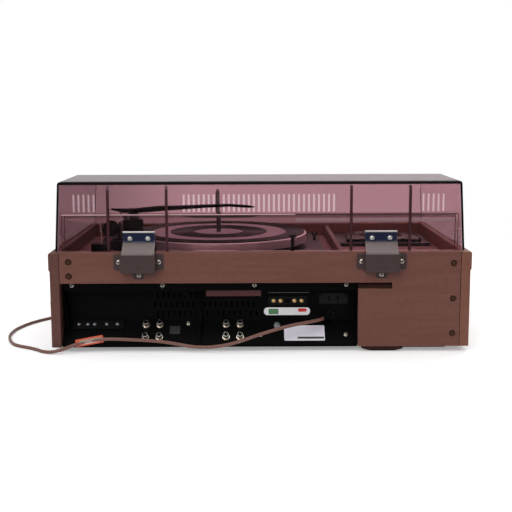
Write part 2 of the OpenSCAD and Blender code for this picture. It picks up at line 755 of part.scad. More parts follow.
module power_cord() { color([0.42, 0.27, 0.23]) tube(cord_path, cord_d / 2, 8); }

least_gap = min([for (i = [0:len(coil_path) - 12], j = [i + 10:len(coil_path) - 1])
    norm(coil_path[i] - coil_path[j])]) - cord_d;
module cord_coil() {
    echo(least_gap_of_the_coil_to_itself = least_gap);
    color([0.42, 0.27, 0.23]) tube(coil_path, cord_d / 2, 6);
}

// A folded paper tag on the cord, with nothing on it.
module cord_tag() {
    color([0.90, 0.86, 0.80]) translate([244.5, rear_y, 17.6]) rotate([0, 9, 7])
        translate([-20, 0, -5.5]) cube([40, 1, 11]);
}

// A two-blade plug that lies beside the coil.
module power_plug() {
    half_h = coil_height(coil_turns);
    color([0.36, 0.22, 0.19]) translate(coil_end) rotate([0, 0, end_angle + 90]) {
        rotate([0, 90, 0]) cylinder(r1 = 3.4, r2 = 5.5, h = 10, $fn = small);
        translate([9, 0, -half_h]) linear_extrude(2 * half_h)
            polygon(rounded([[0, -7, 2], [7, -11, 3], [22, -11, 2], [22, 11, 2], [7, 11, 3],
                             [0, 7, 2]]));
    }
    color(nickel) translate(coil_end) rotate([0, 0, end_angle + 90])
        for (y = [-6.35, 6.35]) difference() {
            translate([31, y - 0.75, -3.2]) cube([16, 1.5, 6.4]);
            translate([43.5, y, 0]) rotate([90, 0, 0]) cylinder(r = 1.6, h = 4, center = true, $fn = small);
        }
}

// ---- Inside the case --------------------------------------------------------------------------

// The mains transformer: a stack of plates on a foot, with a winding in each window.
core_w = 68;
core_d = 44;
core_h = 56;
core_foot = 10;
foot_t = 3;
window_w = 12;
window_h = 34;
coil_out = 8;
module transformer() {
    window_x = core_w / 4;
    window_z = foot_t + (core_h - window_h) / 2;
    translate([-in_x + 70, rear_y - 110, floor_z]) {
        color([0.35, 0.35, 0.37]) difference() {
            union() {
                translate([-core_w / 2, -core_d / 2, 0]) cube([core_w, core_d, foot_t + core_h]);
                translate([-core_w / 2 - core_foot, -core_d / 2, 0])
                    cube([core_w + 2 * core_foot, core_d, foot_t]);
            }
            for (side = [-1, 1]) translate([side * window_x - window_w / 2, -core_d, window_z])
                cube([window_w, 2 * core_d, window_h]);
        }
        color([0.62, 0.45, 0.20]) for (side = [-1, 1])
            translate([side * window_x, 0, window_z]) linear_extrude(window_h)
                polygon(pad_outline(window_w, core_d + 2 * coil_out, 3));
    }
}

// The receiver and amplifier board on its standoffs.
board_w = 260;
board_d = 100;
board_h = 12;
board_t = 1.6;
board_x = in_x - 395;
can_r = 12.5;
can_h = 36;
part_r = 4;
shield_w = 10;
module circuit_board() {
    y0 = rear_y - recess_d - 26 - board_d;
    top = floor_z + board_h + board_t;
    color([0.25, 0.36, 0.22]) {
        block([board_x, y0, floor_z + board_h], [board_x + board_w, y0 + board_d, top]);
        for (x = [part_r + 6, board_w - part_r - 6], y = [part_r + 4, board_d - part_r - 4])
            translate([board_x + x, y0 + y, floor_z])
                cylinder(r = part_r, h = board_h + 1, $fn = small);
    }
    color([0.12, 0.16, 0.30]) translate([board_x, y0, top - 0.5]) {
        for (i = [0, 1]) translate([30 + 3.2 * can_r * i, board_d - can_r * 2])
            cylinder(r = can_r, h = can_h, $fn = medium);
        for (i = [0:5]) translate([90 + 5.5 * part_r * i, board_d / 5])
            cylinder(r = part_r, h = 11, $fn = small);
    }
    color([0.75, 0.75, 0.76]) for (i = [0:4])
        translate([board_x + 102 + 2.4 * shield_w * i, y0 + board_d / 2, top - 0.5])
            cube([shield_w, shield_w, 13.5]);
}

// A finned heat sink along the back, with its two output devices.
fins = 14;
fin_pitch = 7;
fin_h = 58;
fin_d = 22;
fin_t = 1.6;
sink_wall = 4;
device_r = 10;
device_h = 8;
module heat_sink() {
    y0 = rear_y - recess_d - 20 - fin_d;
    translate([in_x - 25 - fins * fin_pitch, y0, floor_z]) {
        color([0.15, 0.15, 0.16]) linear_extrude(fin_h) {
            square([fins * fin_pitch, sink_wall]);
            for (i = [0:fins]) translate([i * fin_pitch - fin_t / 2, 0]) square([fin_t, fin_d]);
        }
        color([0.70, 0.70, 0.68]) for (share = [0.25, 0.75])
            rod_y([share * fins * fin_pitch, -device_h, fin_h * 0.55], device_r, device_h, medium);
    }
}

// ---- Control panel ----------------------------------------------------------------------------

panel_len = (cab_h - plinth_h) / cos(tilt);

// Places things on the panel: x, distance up the slope, distance out of the panel.
module on_panel(x, up, out = 0) {
    translate([0, front_y + 3, case_z + plinth_h]) rotate([90 - tilt, 0, 0])
        translate([x, up, out]) children();
}

row_up = 30;
tune_at = [spread(215), 56];
drum_at = [spread(168), 60];
drum_r = 38;
dial_x = spread(40);
dial_up = 79;
dial_w = 190;
dial_h = 34;
knob_x = [for (x = [-30, 20, 70, 120]) spread(x)];
button_x = [for (x = [-240, -200, -170, -140]) spread(x)];
button_h = 9;
jack_at = [spread(-92), row_up];
jack_out = 4.5;
jack_deep = 34;

module front_fascia() {
    back = fascia_t / cos(tilt);
    foot_y = front_y + 3;
    slope_z = case_z + plinth_h;
    color([0.62, 0.61, 0.58]) difference() {
        along_x(-in_x, in_x)
            polygon([[foot_y, case_z], [foot_y, slope_z], [fascia_y(rim_z), rim_z],
                     [fascia_y(rim_z) + back, rim_z], [foot_y + fascia_t, slope_z],
                     [foot_y + fascia_t, case_z]]);
        on_panel(dial_x, dial_up, -8) linear_extrude(12) polygon(pad_outline(dial_w, dial_h, 3));
        for (x = knob_x) on_panel(x, row_up, -8) cylinder(r = shaft_d / 2 + 1, h = 12, $fn = small);
        on_panel(tune_at[0], tune_at[1], -8) cylinder(r = shaft_d / 2 + 1, h = 12, $fn = small);
        on_panel(jack_at[0], jack_at[1], -8) cylinder(r = 4.6, h = 12, $fn = small);
        for (x = button_x) on_panel(x, row_up, -8) linear_extrude(12)
            square([button_w + 2 * free_gap, button_h + 2 * free_gap], true);
        // shallow trim lines
        for (up = [14, 50]) on_panel(-in_x - 1, up - 0.5, -0.6) cube([2 * in_x + 2, 1, 2]);
    }
}

module dial_scale() {
    color([0.10, 0.12, 0.12]) on_panel(dial_x, dial_up, -9) linear_extrude(1.4)
        polygon(pad_outline(dial_w + 8, dial_h + 6, 3));
    color([0.10, 0.12, 0.12]) for (side = [-1, 1])
        on_panel(dial_x + side * (dial_w / 2 + 2.5), dial_up, -7.6)
            linear_extrude(7.6 - fascia_t) square([3, dial_h + 2], true);
}

module dial_glass() {
    color([0.75, 0.80, 0.80, 0.5]) {
        on_panel(dial_x, dial_up, -fascia_t + 0.2) linear_extrude(fascia_t - 0.7)
            polygon(pad_outline(dial_w - 0.4, dial_h - 0.4, 3));
    }
}

// The pointer stands in front of the scale, on a carriage that hides under the panel.
pointer_travel = drum_r * 90 * PI / 180;
module dial_pointer() {
    color([0.80, 0.20, 0.12]) {
        on_panel(dial_x - 0.7, dial_up - dial_h / 2 - 4, -5.6) cube([1.4, dial_h + 1, 1.2]);
        on_panel(dial_x - 6, dial_up - dial_h / 2 - 9, -6.4) cube([12, 7, 2.4]);
    }
}

// A knob: a skirt, a fluted body and a flat face with an index line.
module knob(r, h, flutes) {
    grip = r - 1.8;
    difference() {
        union() {
            rotate_extrude($fn = fine)
                polygon([[0, 1], [r, 1], [r, 3], [r - 1.2, 4.2], [0, 4.2]]);
            translate([0, 0, 4]) linear_extrude(h - 5) difference() {
                circle(r = grip, $fn = fine);
                for (i = [0:flutes - 1]) rotate(360 * i / flutes)
                    translate([grip + 0.3, 0]) circle(r = 0.8, $fn = 16);
            }
            translate([0, 0, h - 1.2]) cylinder(r = grip - 1.2, h = 1.2, $fn = fine);
        }
        translate([-0.6, r - 8, h - 0.6]) cube([1.2, 9, 2]);
    }
}

module small_knob(i) {
    color([0.68, 0.67, 0.65]) on_panel(knob_x[i], row_up) {
        knob(knob_r, knob_h, 24);
        translate([0, 0, -16]) cylinder(r = shaft_d / 2, h = 18, $fn = medium);
    }
}

module volume_knob() { small_knob(0); }
module balance_knob() { small_knob(1); }
module bass_knob() { small_knob(2); }
module treble_knob() { small_knob(3); }

// The tuning knob with its shaft and flywheel.
module tuning_knob() {
    color([0.68, 0.67, 0.65]) on_panel(tune_at[0], tune_at[1]) {
        knob(tune_r, knob_h + 2, 48);
        translate([0, 0, -36]) cylinder(r = shaft_d / 2, h = 38, $fn = medium);
        translate([0, 0, -34]) cylinder(r = 18, h = 7, $fn = fine);
    }
}

// The drum that the dial cord turns, on the shaft of the tuning capacitor.
module tuning_drum() {
    color([0.80, 0.78, 0.70]) on_panel(drum_at[0], drum_at[1]) {
        translate([0, 0, -19]) rotate_extrude($fn = fine)
            polygon([[0, 0], [drum_r, 0], [drum_r, 1.2], [drum_r - 2, 2.4], [drum_r, 3.6],
                     [drum_r, 4.8], [drum_r - 6, 4.8], [drum_r - 6, 2], [8, 2], [8, 4.8], [0, 4.8]]);
        translate([0, 0, -40]) cylinder(r = shaft_d / 2, h = 22, $fn = medium);
    }
}

// Potentiometers, the tuning shaft's bush, the tuning capacitor and the row of switches.
module control_pots() {
    bore = shaft_d / 2 + run_gap;
    rack_x0 = button_x[0] - 22;
    rack_x1 = button_x[3] + 22;
    color([0.55, 0.56, 0.58]) {
        for (x = knob_x) on_panel(x, row_up) difference() {
            union() {
                translate([0, 0, -fascia_t - 5]) cylinder(r = 5, h = 5, $fn = small);
                translate([0, 0, -19]) cylinder(r = 12, h = 11.5, $fn = medium);
            }
            translate([0, 0, -17]) cylinder(r = bore, h = 20, $fn = medium);
        }
        on_panel(tune_at[0], tune_at[1]) difference() {
            union() {
                translate([0, 0, -fascia_t - 18]) cylinder(r = 6, h = 18, $fn = small);
                translate([0, 0, -fascia_t - 2]) cylinder(r = 10, h = 2, $fn = medium);
            }
            translate([0, 0, -30]) cylinder(r = bore, h = 40, $fn = medium);
        }
        difference() {
            union() {
                on_panel(drum_at[0] - 18, drum_at[1] - 18, -56) cube([36, 36, 34]);
                block([drum_at[0] - 16, front_y + 52, floor_z],
                      [drum_at[0] + 16, front_y + 55, floor_z + 46]);
            }
            on_panel(drum_at[0], drum_at[1], -42) cylinder(r = bore, h = 30, $fn = medium);
        }
        difference() {
            union() {
                on_panel(rack_x0, row_up - 9, -24) cube([rack_x1 - rack_x0, 18, 12]);
                for (x = [rack_x0, rack_x1 - 4])
                    on_panel(x, row_up - 9, -24) cube([4, 18, 24 - fascia_t]);
            }
            for (x = button_x) on_panel(x - 3.5, row_up - 2.5, -23) cube([7, 5, 20]);
        }
    }
}

// A push button with its stem.
module push_button(i, tone) {
    color(tone) on_panel(button_x[i], row_up) {
        translate([0, 0, -8]) linear_extrude(14) polygon(pad_outline(button_w, button_h, 1.2));
        translate([-3, -2, -18]) cube([6, 4, 12]);
    }
}

module button_power() { push_button(0, [0.62, 0.16, 0.12]); }
module button_phono() { push_button(1, [0.80, 0.79, 0.76]); }
module button_radio() { push_button(2, [0.80, 0.79, 0.76]); }
module button_tape() { push_button(3, [0.80, 0.79, 0.76]); }

module headphone_jack() {
    color(nickel) on_panel(jack_at[0], jack_at[1]) difference() {
        union() {
            translate([0, 0, -jack_deep - 2])
                cylinder(r = 8, h = jack_deep + 2 - fascia_t, $fn = medium);
            cylinder(r = 4.5, h = 2 * jack_out, center = true, $fn = medium);
            cylinder(r = 7, h = 2.4, $fn = 6);
        }
        translate([0, 0, -jack_deep])
            cylinder(r = phone_d / 2, h = jack_deep + 2 * jack_out, $fn = medium);
    }
}

// ---- Record changer ---------------------------------------------------------------------------

platter_x = changer_x - platter_off;
platter_y = rear_y - platter_back;
plate_z = deck_z + 6;
plate_t = 2;
plate_seat = 20;
mat_t = 2.5;
platter_top = rim_z + 7 - mat_t;
platter_low = platter_top - platter_h;
platter_wall = 3.5;
sleeve_r = 5;
arm_x = changer_x + 139;
arm_y = rear_y - 96;
arm_z = rim_z + 27;
post_x = changer_x + 107;
post_y = rear_y - 80;
idler_r = 20;
idler_reach = platter_r - platter_wall - idler_r - 0.3;
idler_at = [platter_x - 0.90792 * idler_reach, platter_y - 0.41997 * idler_reach];
motor_at = idler_at + [17.2, -17.2];
lever_at = [for (y = [305, 275]) [changer_x + 156, rear_y - y]];

// The changer's pressed plate with its turned-down edge and the posts fixed to it.
module changer_plate() {
    color([0.12, 0.11, 0.11]) difference() {
        union() {
            translate([changer_x, changer_y, deck_z]) linear_extrude(plate_z - deck_z)
                polygon(pad_outline(changer_w, changer_d, 14));
            translate([arm_x, arm_y, plate_z - 1])
                cylinder(r = 17, h = rim_z + 6 - plate_z + 1, $fn = medium);
            translate([idler_at[0], idler_at[1], plate_z - 1]) {
                cylinder(r = 4, h = 4, $fn = small);
                cylinder(r = 2, h = 15.5, $fn = small);
            }
        }
        translate([changer_x, changer_y, deck_z - 1]) linear_extrude(plate_z - deck_z - plate_t + 1)
            polygon(pad_outline(changer_w - 4, changer_d - 4, 12));
        // a shallow ring under the platter
        translate([platter_x, platter_y, plate_z - 0.6]) rotate_extrude($fn = fine)
            polygon([[platter_r + 1, 0], [platter_r + 3, 0], [platter_r + 3, 2], [platter_r + 1, 2]]);
        translate([platter_x, platter_y, deck_z]) cylinder(r = 4, h = 20, $fn = small);
        translate([motor_at[0], motor_at[1], deck_z]) cylinder(r = 7, h = 20, $fn = small);
        translate([arm_x, arm_y, deck_z]) cylinder(r = sleeve_r + run_gap, h = 40, $fn = medium);
        for (p = lever_at) translate([p[0], p[1], deck_z])
            cylinder(r = 2.5 + run_gap, h = 20, $fn = small);
    }
}

module platter() {
    color([0.66, 0.65, 0.64]) translate([platter_x, platter_y, platter_low])
        rotate_extrude($fn = 96)
            polygon([[sleeve_r + run_gap, -3], [14, -3], [14, platter_h - 3],
                     [platter_r - platter_wall, platter_h - 3], [platter_r - platter_wall, 0],
                     [platter_r - 0.8, 0], [platter_r, 0.8], [platter_r, platter_h + 0.6],
                     [platter_r - 0.8, platter_h + 1.4], [platter_r - 2.4, platter_h + 1.4],
                     [platter_r - 2.4, platter_h], [sleeve_r + run_gap, platter_h]]);
}

// The rubber mat: raised rings with lower ones between them.
module platter_mat() {
    rings = [39, 77, 107];
    edge = platter_r - 2.9;
    color([0.14, 0.12, 0.12]) translate([platter_x, platter_y, platter_top])
        rotate_extrude($fn = 96)
            polygon([[sleeve_r + 1, 0], [edge, 0], [edge, mat_t], [rings[2], mat_t],
                     [rings[2], mat_t - 1], [rings[1], mat_t - 1], [rings[1], mat_t],
                     [rings[0], mat_t], [rings[0], mat_t - 1], [sleeve_r + 1, mat_t - 1]]);
}

// Bearing sleeve and changer spindle with its record shelf.
module changer_spindle() {
    r = spindle_d / 2;
    tip = rim_z + spindle_h;
    shelf = rim_z + 38;
    color([0.80, 0.80, 0.80]) translate([platter_x, platter_y, 0]) {
        rotate_extrude($fn = medium)
            polygon([[0, plate_z - 8], [8, plate_z - 8], [8, plate_z - plate_t],
                     [3.9, plate_z - plate_t], [3.9, plate_z], [9, plate_z],
                     [9, platter_low - 3.3], [sleeve_r, platter_low - 3.3],
                     [sleeve_r, platter_top + 1], [r, platter_top + 2], [r, shelf], [0, shelf]]);
        translate([1.4, 0, 0]) rotate_extrude($fn = medium)
            polygon([[0, shelf - 2], [r - 1.5, shelf - 2], [r - 0.4, shelf], [r - 0.4, tip - 6],
                     [r - 1.6, tip - 1], [r - 2.6, tip], [0, tip]]);
    }
}

module drive_motor() {
    color([0.50, 0.50, 0.52]) translate([motor_at[0], motor_at[1], 0]) {
        translate([0, 0, plate_z - 44]) cylinder(r = 27, h = 36, $fn = medium);
        for (a = [45:90:315]) rotate([0, 0, a]) translate([20, 0, plate_z - 9])
            cylinder(r = 3, h = 9 - plate_t, $fn = small);
        translate([0, 0, plate_z - 9]) cylinder(r = 2, h = 20, $fn = small);
        translate([0, 0, platter_low + 0.5]) cylinder(r = 4, h = 7, $fn = small);
    }
}

module idler_wheel() {
    color([0.20, 0.18, 0.17]) translate([idler_at[0], idler_at[1], 0])
        rotate_extrude($fn = fine)
            polygon([[2 + run_gap, plate_z + 3.3], [6, plate_z + 3.3], [6, platter_low + 1.5],
                     [idler_r - 4, platter_low + 2.5], [idler_r - 4, platter_low + 1],
                     [idler_r, platter_low + 1], [idler_r, platter_low + 6],
                     [idler_r - 4, platter_low + 6], [idler_r - 4, platter_low + 4.5],
                     [6, platter_low + 5.5], [6, platter_low + 6.5], [2 + run_gap, platter_low + 6.5]]);
}

// The turning gimbal: a shaft in the pillar, a round deck and the fork of the arm's pivot.
lift_r = 1.5;
module tonearm_gimbal() {
    deck = rim_z + 6.3;
    color([0.09, 0.09, 0.09]) translate([arm_x, arm_y, 0]) difference() {
        union() {
            translate([0, 0, plate_z - 4]) cylinder(r = sleeve_r, h = deck - plate_z + 5, $fn = medium);
            translate([0, 0, deck]) cylinder(r = 15, h = 3, $fn = medium);
            for (side = [-1, 1]) along_x(side * 9 - 1.5, side * 9 + 1.5)
                polygon(rounded([[-8, deck + 2, 0], [8, deck + 2, 0], [7, arm_z + 6, 4],
                                 [-7, arm_z + 6, 4]]));
        }
        rod_x([-20, 0, arm_z], lift_r + run_gap, 40);
    }
}

// The arm: pivot pin, tapering tube, head with cartridge and stylus, and counterweight.
module tonearm() {
    color([0.60, 0.59, 0.58]) translate([arm_x, arm_y, arm_z]) {
        rod_x([-10, 0, 0], lift_r, 20);
        translate([0, 0, -4]) linear_extrude(8)
            polygon([[-4.5, 30], [-4.5, 8], [-3.2, -arm_len + 34], [3.2, -arm_len + 34],
                     [4.5, 8], [4.5, 30]]);
    }
    color([0.09, 0.09, 0.09]) translate([arm_x, arm_y, arm_z]) {
        rod_y([0, 24, 0], 11, 22, medium);
        difference() {
            translate([0, 0, -6]) linear_extrude(11)
                polygon(rounded([[-7, -arm_len + 36, 2], [-9, -arm_len + 8, 0], [-7, -arm_len - 8, 3],
                                 [7, -arm_len - 8, 3], [9, -arm_len + 8, 0], [7, -arm_len + 36, 2]]));
            translate([-5.6, -arm_len - 4, -7]) cube([11.2, 34, 8]);
        }
        translate([-5, -arm_len - 2, -9]) cube([10, 20, 11]);
        translate([0, -arm_len + 1, -11.5]) cylinder(r = 0.6, h = 4, $fn = small);
        translate([9, -arm_len + 4, -1]) rotate([0, 90, 0]) cylinder(r = 1.2, h = 9, $fn = small);
    }
}

// The arm rest, the overarm's pillar, the trip housing, a small fork and a T-shaped post.
module deck_posts() {
    rest_y = arm_y - 130;
    fork_t = 6;
    cap_w = 10.5;
    color([0.08, 0.08, 0.08]) {
        translate([arm_x, rest_y, plate_z]) cylinder(r = 4, h = arm_z - 8 - plate_z, $fn = small);
        along_y(rest_y - 4, rest_y + 4) polygon([
            [arm_x - 4, arm_z - 9], [arm_x + 8, arm_z - 9], [arm_x + 8, arm_z + 3],
            [arm_x + 5.4, arm_z + 3], [arm_x + 5.4, arm_z - 4.3], [arm_x - 4, arm_z - 4.3]]);
        difference() {
            translate([post_x, post_y, plate_z]) cylinder(r = 7, h = rim_z + 20 - plate_z, $fn = medium);
            translate([post_x, post_y, plate_z + 2]) cylinder(r = 4 + run_gap, h = 60, $fn = medium);
        }
        translate([changer_x + 152, rear_y - 46, plate_z]) linear_extrude(rim_z + 7 - plate_z)
            polygon(pad_outline(26, 16, 2));
        translate([changer_x - 172, platter_y - 50, plate_z]) along_y(-fork_t / 2, fork_t / 2)
            polygon([[-2, 0], [2, 0], [2, 7], [4.75, 9.5], [4.75, 15], [2.6, 15], [2.6, 11],
                     [0, 9], [-2.6, 11], [-2.6, 15], [-4.75, 15], [-4.75, 9.5], [-2, 7]]);
    }
    color([0.34, 0.26, 0.16]) translate([changer_x - 128, rear_y - 50, plate_z]) {
        cylinder(r = 2.6, h = rim_z + 15 - plate_z, $fn = small);
        translate([-cap_w / 2, -3, rim_z + 14.5 - plate_z]) cube([cap_w, 6, 4]);
    }
}

// The overarm that steadies a stack of records, on its shaft.
over_dir = 216.5;
module overarm() {
    hub = rim_z + 20.3;
    color([0.07, 0.07, 0.07]) translate([post_x, post_y, 0]) rotate([0, 0, over_dir]) {
        translate([0, 0, plate_z + 3]) cylinder(r = 4, h = hub - plate_z, $fn = medium);
        translate([0, 0, hub]) linear_extrude(18) polygon(pad_outline(24, 20, 4));
        translate([0, 0, hub + 17]) cylinder(r = 7, h = 18, $fn = medium);
        translate([0, 6, rim_z]) rotate([90, 0, 0]) linear_extrude(12)
            polygon([[-34, 54], [-20, 50.2], [0, 47], [24, 47.8], [123, 47.7], [172, 46.5],
                     [195, 43.7], [211, 42.1], [219.5, 42.4], [219.5, 44.2], [211, 46.5],
                     [195, 48.3], [172, 50.8], [123, 52.6], [82, 53.9], [46, 55.7],
                     [24, 55.2], [0, 54.5], [-20, 55.8], [-34, 56.7]]);
    }
}

// A control lever of the changer.
module changer_lever(i) {
    color([0.10, 0.10, 0.10]) translate([lever_at[i][0], lever_at[i][1], plate_z]) {
        translate([0, 0, -5]) cylinder(r = 2.5, h = 6, $fn = small);
        translate([0, 0, 0.3]) cylinder(r = 7, h = 4, $fn = medium);
        translate([0, -3, 0.3]) linear_extrude(4)
            polygon(rounded([[0, 0, 0], [20, 1, 1.5], [20, 5, 1.5], [0, 6, 0]], 3));
    }
    color([0.75, 0.75, 0.74]) translate([lever_at[i][0] + 16, lever_at[i][1], plate_z + 4])
        cylinder(r = 2.6, h = 7, $fn = small);
}

module start_lever() { changer_lever(0); }
module speed_lever() { changer_lever(1); }

// ---- Cassette deck ----------------------------------------------------------------------------

tape_d = 130;
tub_in = 7.5;
tub_deep = 24;
tape_y = rail_back + 72;
tape_z = deck_z + 5;
pocket_w = 104;
pocket_d = 66;
pocket_h = 13;
pocket_y = tape_y + 8;
lid_d = 76;
lid_t = 5;
lid_z = tape_z + 0.4;
lid_back = pocket_y + 41;
key_y = tape_y - 50;
key_w = 30;
key_d = 16;
key_x = [tape_x - 22, tape_x + 22];
reel_x = [tape_x - 21.25, tape_x + 21.25];
reel_r = 3;

module cassette_well() {
    low = deck_z - tub_deep;
    ear = lid_w / 2 + 3;
    color([0.15, 0.15, 0.16]) difference() {
        union() {
            translate([tape_x, tape_y, deck_z]) linear_extrude(tape_z - deck_z)
                polygon(pad_outline(tape_w, tape_d, 5));
            translate([tape_x, tape_y, low]) linear_extrude(deck_z - low + 1)
                polygon(pad_outline(tape_w - 2 * tub_in, tape_d - 2 * tub_in, 4));
            for (side = [-1, 1]) along_x(tape_x + side * ear - 2, tape_x + side * ear + 2)
                polygon(rounded([[lid_back - 4, tape_z - 1, 0], [lid_back + 4, tape_z - 1, 0],
                                 [lid_back + 4, lid_z + 6.5, 3], [lid_back - 4, lid_z + 6.5, 3]]));
        }
        translate([tape_x, pocket_y, tape_z - pocket_h]) linear_extrude(30)
            polygon(pad_outline(pocket_w, pocket_d, 3));
        for (x = reel_x) translate([x, pocket_y + 3, low + 3])
            cylinder(r = reel_r + run_gap, h = 40, $fn = medium);
        for (x = key_x) translate([x, key_y, low - 1]) linear_extrude(50)
            square([key_w + 2 * free_gap, key_d + 2 * free_gap], true);
        rod_x([tape_x - lid_w / 2 - 8, lid_back, lid_z + 2.7], 2 + run_gap, lid_w + 16);
    }
}

// The lid with its long window.
module cassette_lid() {
    color([0.20, 0.20, 0.21]) difference() {
        union() {
            translate([tape_x, lid_back - lid_d / 2, lid_z]) linear_extrude(lid_t)
                polygon(pad_outline(lid_w, lid_d - 1, 2));
            rod_x([tape_x - lid_w / 2, lid_back, lid_z + 2.7], 2.7, lid_w);
            rod_x([tape_x - lid_w / 2 - 4.5, lid_back, lid_z + 2.7], 2, lid_w + 9, medium);
        }
        translate([tape_x, lid_back - lid_d / 2 - 4, lid_z - 1]) linear_extrude(lid_t + 2)
            polygon(pad_outline(70, 24, 3));
    }
}

module tape_key(i) {
    color([0.70, 0.69, 0.68]) translate([key_x[i], key_y, tape_z - 8]) {
        linear_extrude(11) polygon(pad_outline(key_w, key_d, 1.5));
        translate([-8, -3, 0]) cube([16, 2, 12]);
    }
}

module key_play() { tape_key(0); }
module key_stop() { tape_key(1); }

// A reel spindle with three splines.
module reel_spindle(i) {
    color([0.82, 0.82, 0.80]) translate([reel_x[i], pocket_y + 3, 0]) {
        translate([0, 0, deck_z - 18]) cylinder(r = reel_r, h = tape_z - 2 - deck_z + 18, $fn = medium);
        for (a = [0, 120, 240]) rotate([0, 0, a])
            translate([0, -0.6, tape_z - pocket_h + 1]) cube([reel_r + 1.4, 1.2, 7]);
    }
}

module reel_spindle_left() { reel_spindle(0); }
module reel_spindle_right() { reel_spindle(1); }

// ---- The pieces -------------------------------------------------------------------------------
side_panel_left();
side_panel_right();
rear_board();
base_board();
corner_battens();
feet();
case_screws();
front_rail();
top_deck();
divider_bar();
rear_panel();
rca_jacks();
antenna_terminals();
speaker_terminals();
ac_outlet();
hinge_housings();
hinge_straps();
dust_cover();
cord_bushing();
power_cord();
cord_coil();
cord_tag();
power_plug();
transformer();
circuit_board();
heat_sink();
control_pots();
front_fascia();
dial_scale();
dial_glass();
dial_pointer();
tuning_drum();
tuning_knob();
volume_knob();
balance_knob();
bass_knob();
treble_knob();
button_power();
button_phono();
button_radio();
button_tape();
headphone_jack();
changer_plate();
platter();
platter_mat();
changer_spindle();
drive_motor();
idler_wheel();
tonearm_gimbal();
tonearm();
deck_posts();
overarm();
start_lever();
speed_lever();
cassette_well();
cassette_lid();
key_play();
key_stop();
reel_spindle_left();
reel_spindle_right();
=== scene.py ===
# %% [markdown]
# # A stereo music centre, seen from behind
# The object is a wooden case with a record changer and a cassette deck under a smoke-tinted dust
# cover. Its construction is a fixed frame of named parts that is loaded here. This lesson gives
# that frame its looks: finishes for every part, and finer meshes where the plain part isn't enough.
# Everything is in metres: +X is the tonearm's side, +Y points out of the back, +Z is up.

# %% Load the frame
import json
import math
from functools import partialmethod

import bmesh
import bpy
import numpy as np
from mathutils import Matrix, Vector


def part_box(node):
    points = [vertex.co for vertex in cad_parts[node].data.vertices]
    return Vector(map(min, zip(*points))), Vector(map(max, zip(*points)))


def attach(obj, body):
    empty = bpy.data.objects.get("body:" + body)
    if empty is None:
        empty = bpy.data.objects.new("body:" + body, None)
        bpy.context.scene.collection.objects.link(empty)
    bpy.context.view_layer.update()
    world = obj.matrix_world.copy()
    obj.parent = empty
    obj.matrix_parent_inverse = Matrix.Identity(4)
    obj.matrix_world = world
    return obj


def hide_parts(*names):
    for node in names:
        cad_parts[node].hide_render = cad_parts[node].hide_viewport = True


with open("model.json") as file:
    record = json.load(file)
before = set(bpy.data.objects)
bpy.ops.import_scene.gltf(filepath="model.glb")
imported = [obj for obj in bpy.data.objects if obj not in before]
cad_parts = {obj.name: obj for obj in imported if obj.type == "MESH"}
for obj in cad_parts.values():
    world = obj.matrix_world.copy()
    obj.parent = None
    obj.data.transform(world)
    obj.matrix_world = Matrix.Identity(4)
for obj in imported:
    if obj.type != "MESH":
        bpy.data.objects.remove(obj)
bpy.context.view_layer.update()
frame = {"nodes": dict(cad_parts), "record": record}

# %% [markdown]
# ## Planes of the object
# The looks must sit on the frame, so the main planes are read from its parts and not typed in.

# %% Planes of the object
MM = 0.001
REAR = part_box("rear_board")[1].y
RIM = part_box("rear_board")[1].z
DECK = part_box("top_deck")[1].z
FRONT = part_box("side_panel_left")[0].y
CASE_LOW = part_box("side_panel_left")[0].z
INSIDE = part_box("front_rail")[1].x
PANEL = REAR - 34 * MM
PLATTER = (sum(c.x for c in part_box("platter")) / 2, sum(c.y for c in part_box("platter")) / 2)
HINGE_X = 172
REAR_MM, RIM_MM, LOW_MM, IN_X = (v / MM for v in (REAR, RIM, CASE_LOW, INSIDE))
print(f"rear face {REAR:.3f}, rim {RIM:.3f}, deck {DECK:.3f}, sunk panel {PANEL:.3f}")

# %% [markdown]
# ## The camera
# The picture is taken from behind, from a little above the cover and almost level. A long lens
# keeps the case's edges nearly parallel. The turn is built from three small angles.

# %% Camera
CAMERA_AT = (0.0121, 1.5433, 0.3481)
LENS = 67.95
YAW, PITCH, ROLL = -0.0046, 0.1531, -0.0032


def add_object(name, data):
    """A new object in the scene."""
    made = bpy.data.objects.new(name, data)
    bpy.context.scene.collection.objects.link(made)
    return made


def make_camera():
    """A camera that looks along -Y, turned by YAW, dipped by PITCH and rolled by ROLL, in radians."""
    data = bpy.data.cameras.new("camera")
    data.lens = LENS
    data.sensor_width = 36.0
    camera = add_object("camera", data)
    turn = Matrix.Rotation(math.pi + YAW, 4, "Z") @ Matrix.Rotation(math.pi / 2 - PITCH, 4, "X")
    camera.matrix_world = Matrix.Translation(CAMERA_AT) @ turn @ Matrix.Rotation(ROLL, 4, "Z")
    bpy.context.scene.camera = camera
    return camera


camera = make_camera()
bpy.context.scene.view_settings.view_transform = "Standard"
print("camera at", tuple(round(v, 3) for v in camera.matrix_world.translation))

# %% [markdown]
# ## Tools for meshes
# Most pieces are one of four things: rings that are skinned, a profile turned on a lathe, a section
# carried along a path, or a thin plate with eased edges. Each is worked out on whole arrays.


# %% Mesh tools
QUARTERS = ((1, 0), (0, 1), (-1, 0), (0, -1))


def grid(rows, cols, close_rows=False, close_cols=False):
    """Quads between neighbouring rows and columns; a closed side joins its last line to its first."""
    r = np.arange(rows if close_rows else rows - 1)[:, None]
    c = np.arange(cols if close_cols else cols - 1)[None, :]
    r2, c2 = (r + 1) % rows, (c + 1) % cols
    corners = (r * cols + c, r * cols + c2, r2 * cols + c2, r2 * cols + c)
    return np.stack(np.broadcast_arrays(*corners), -1).reshape(-1, 4)


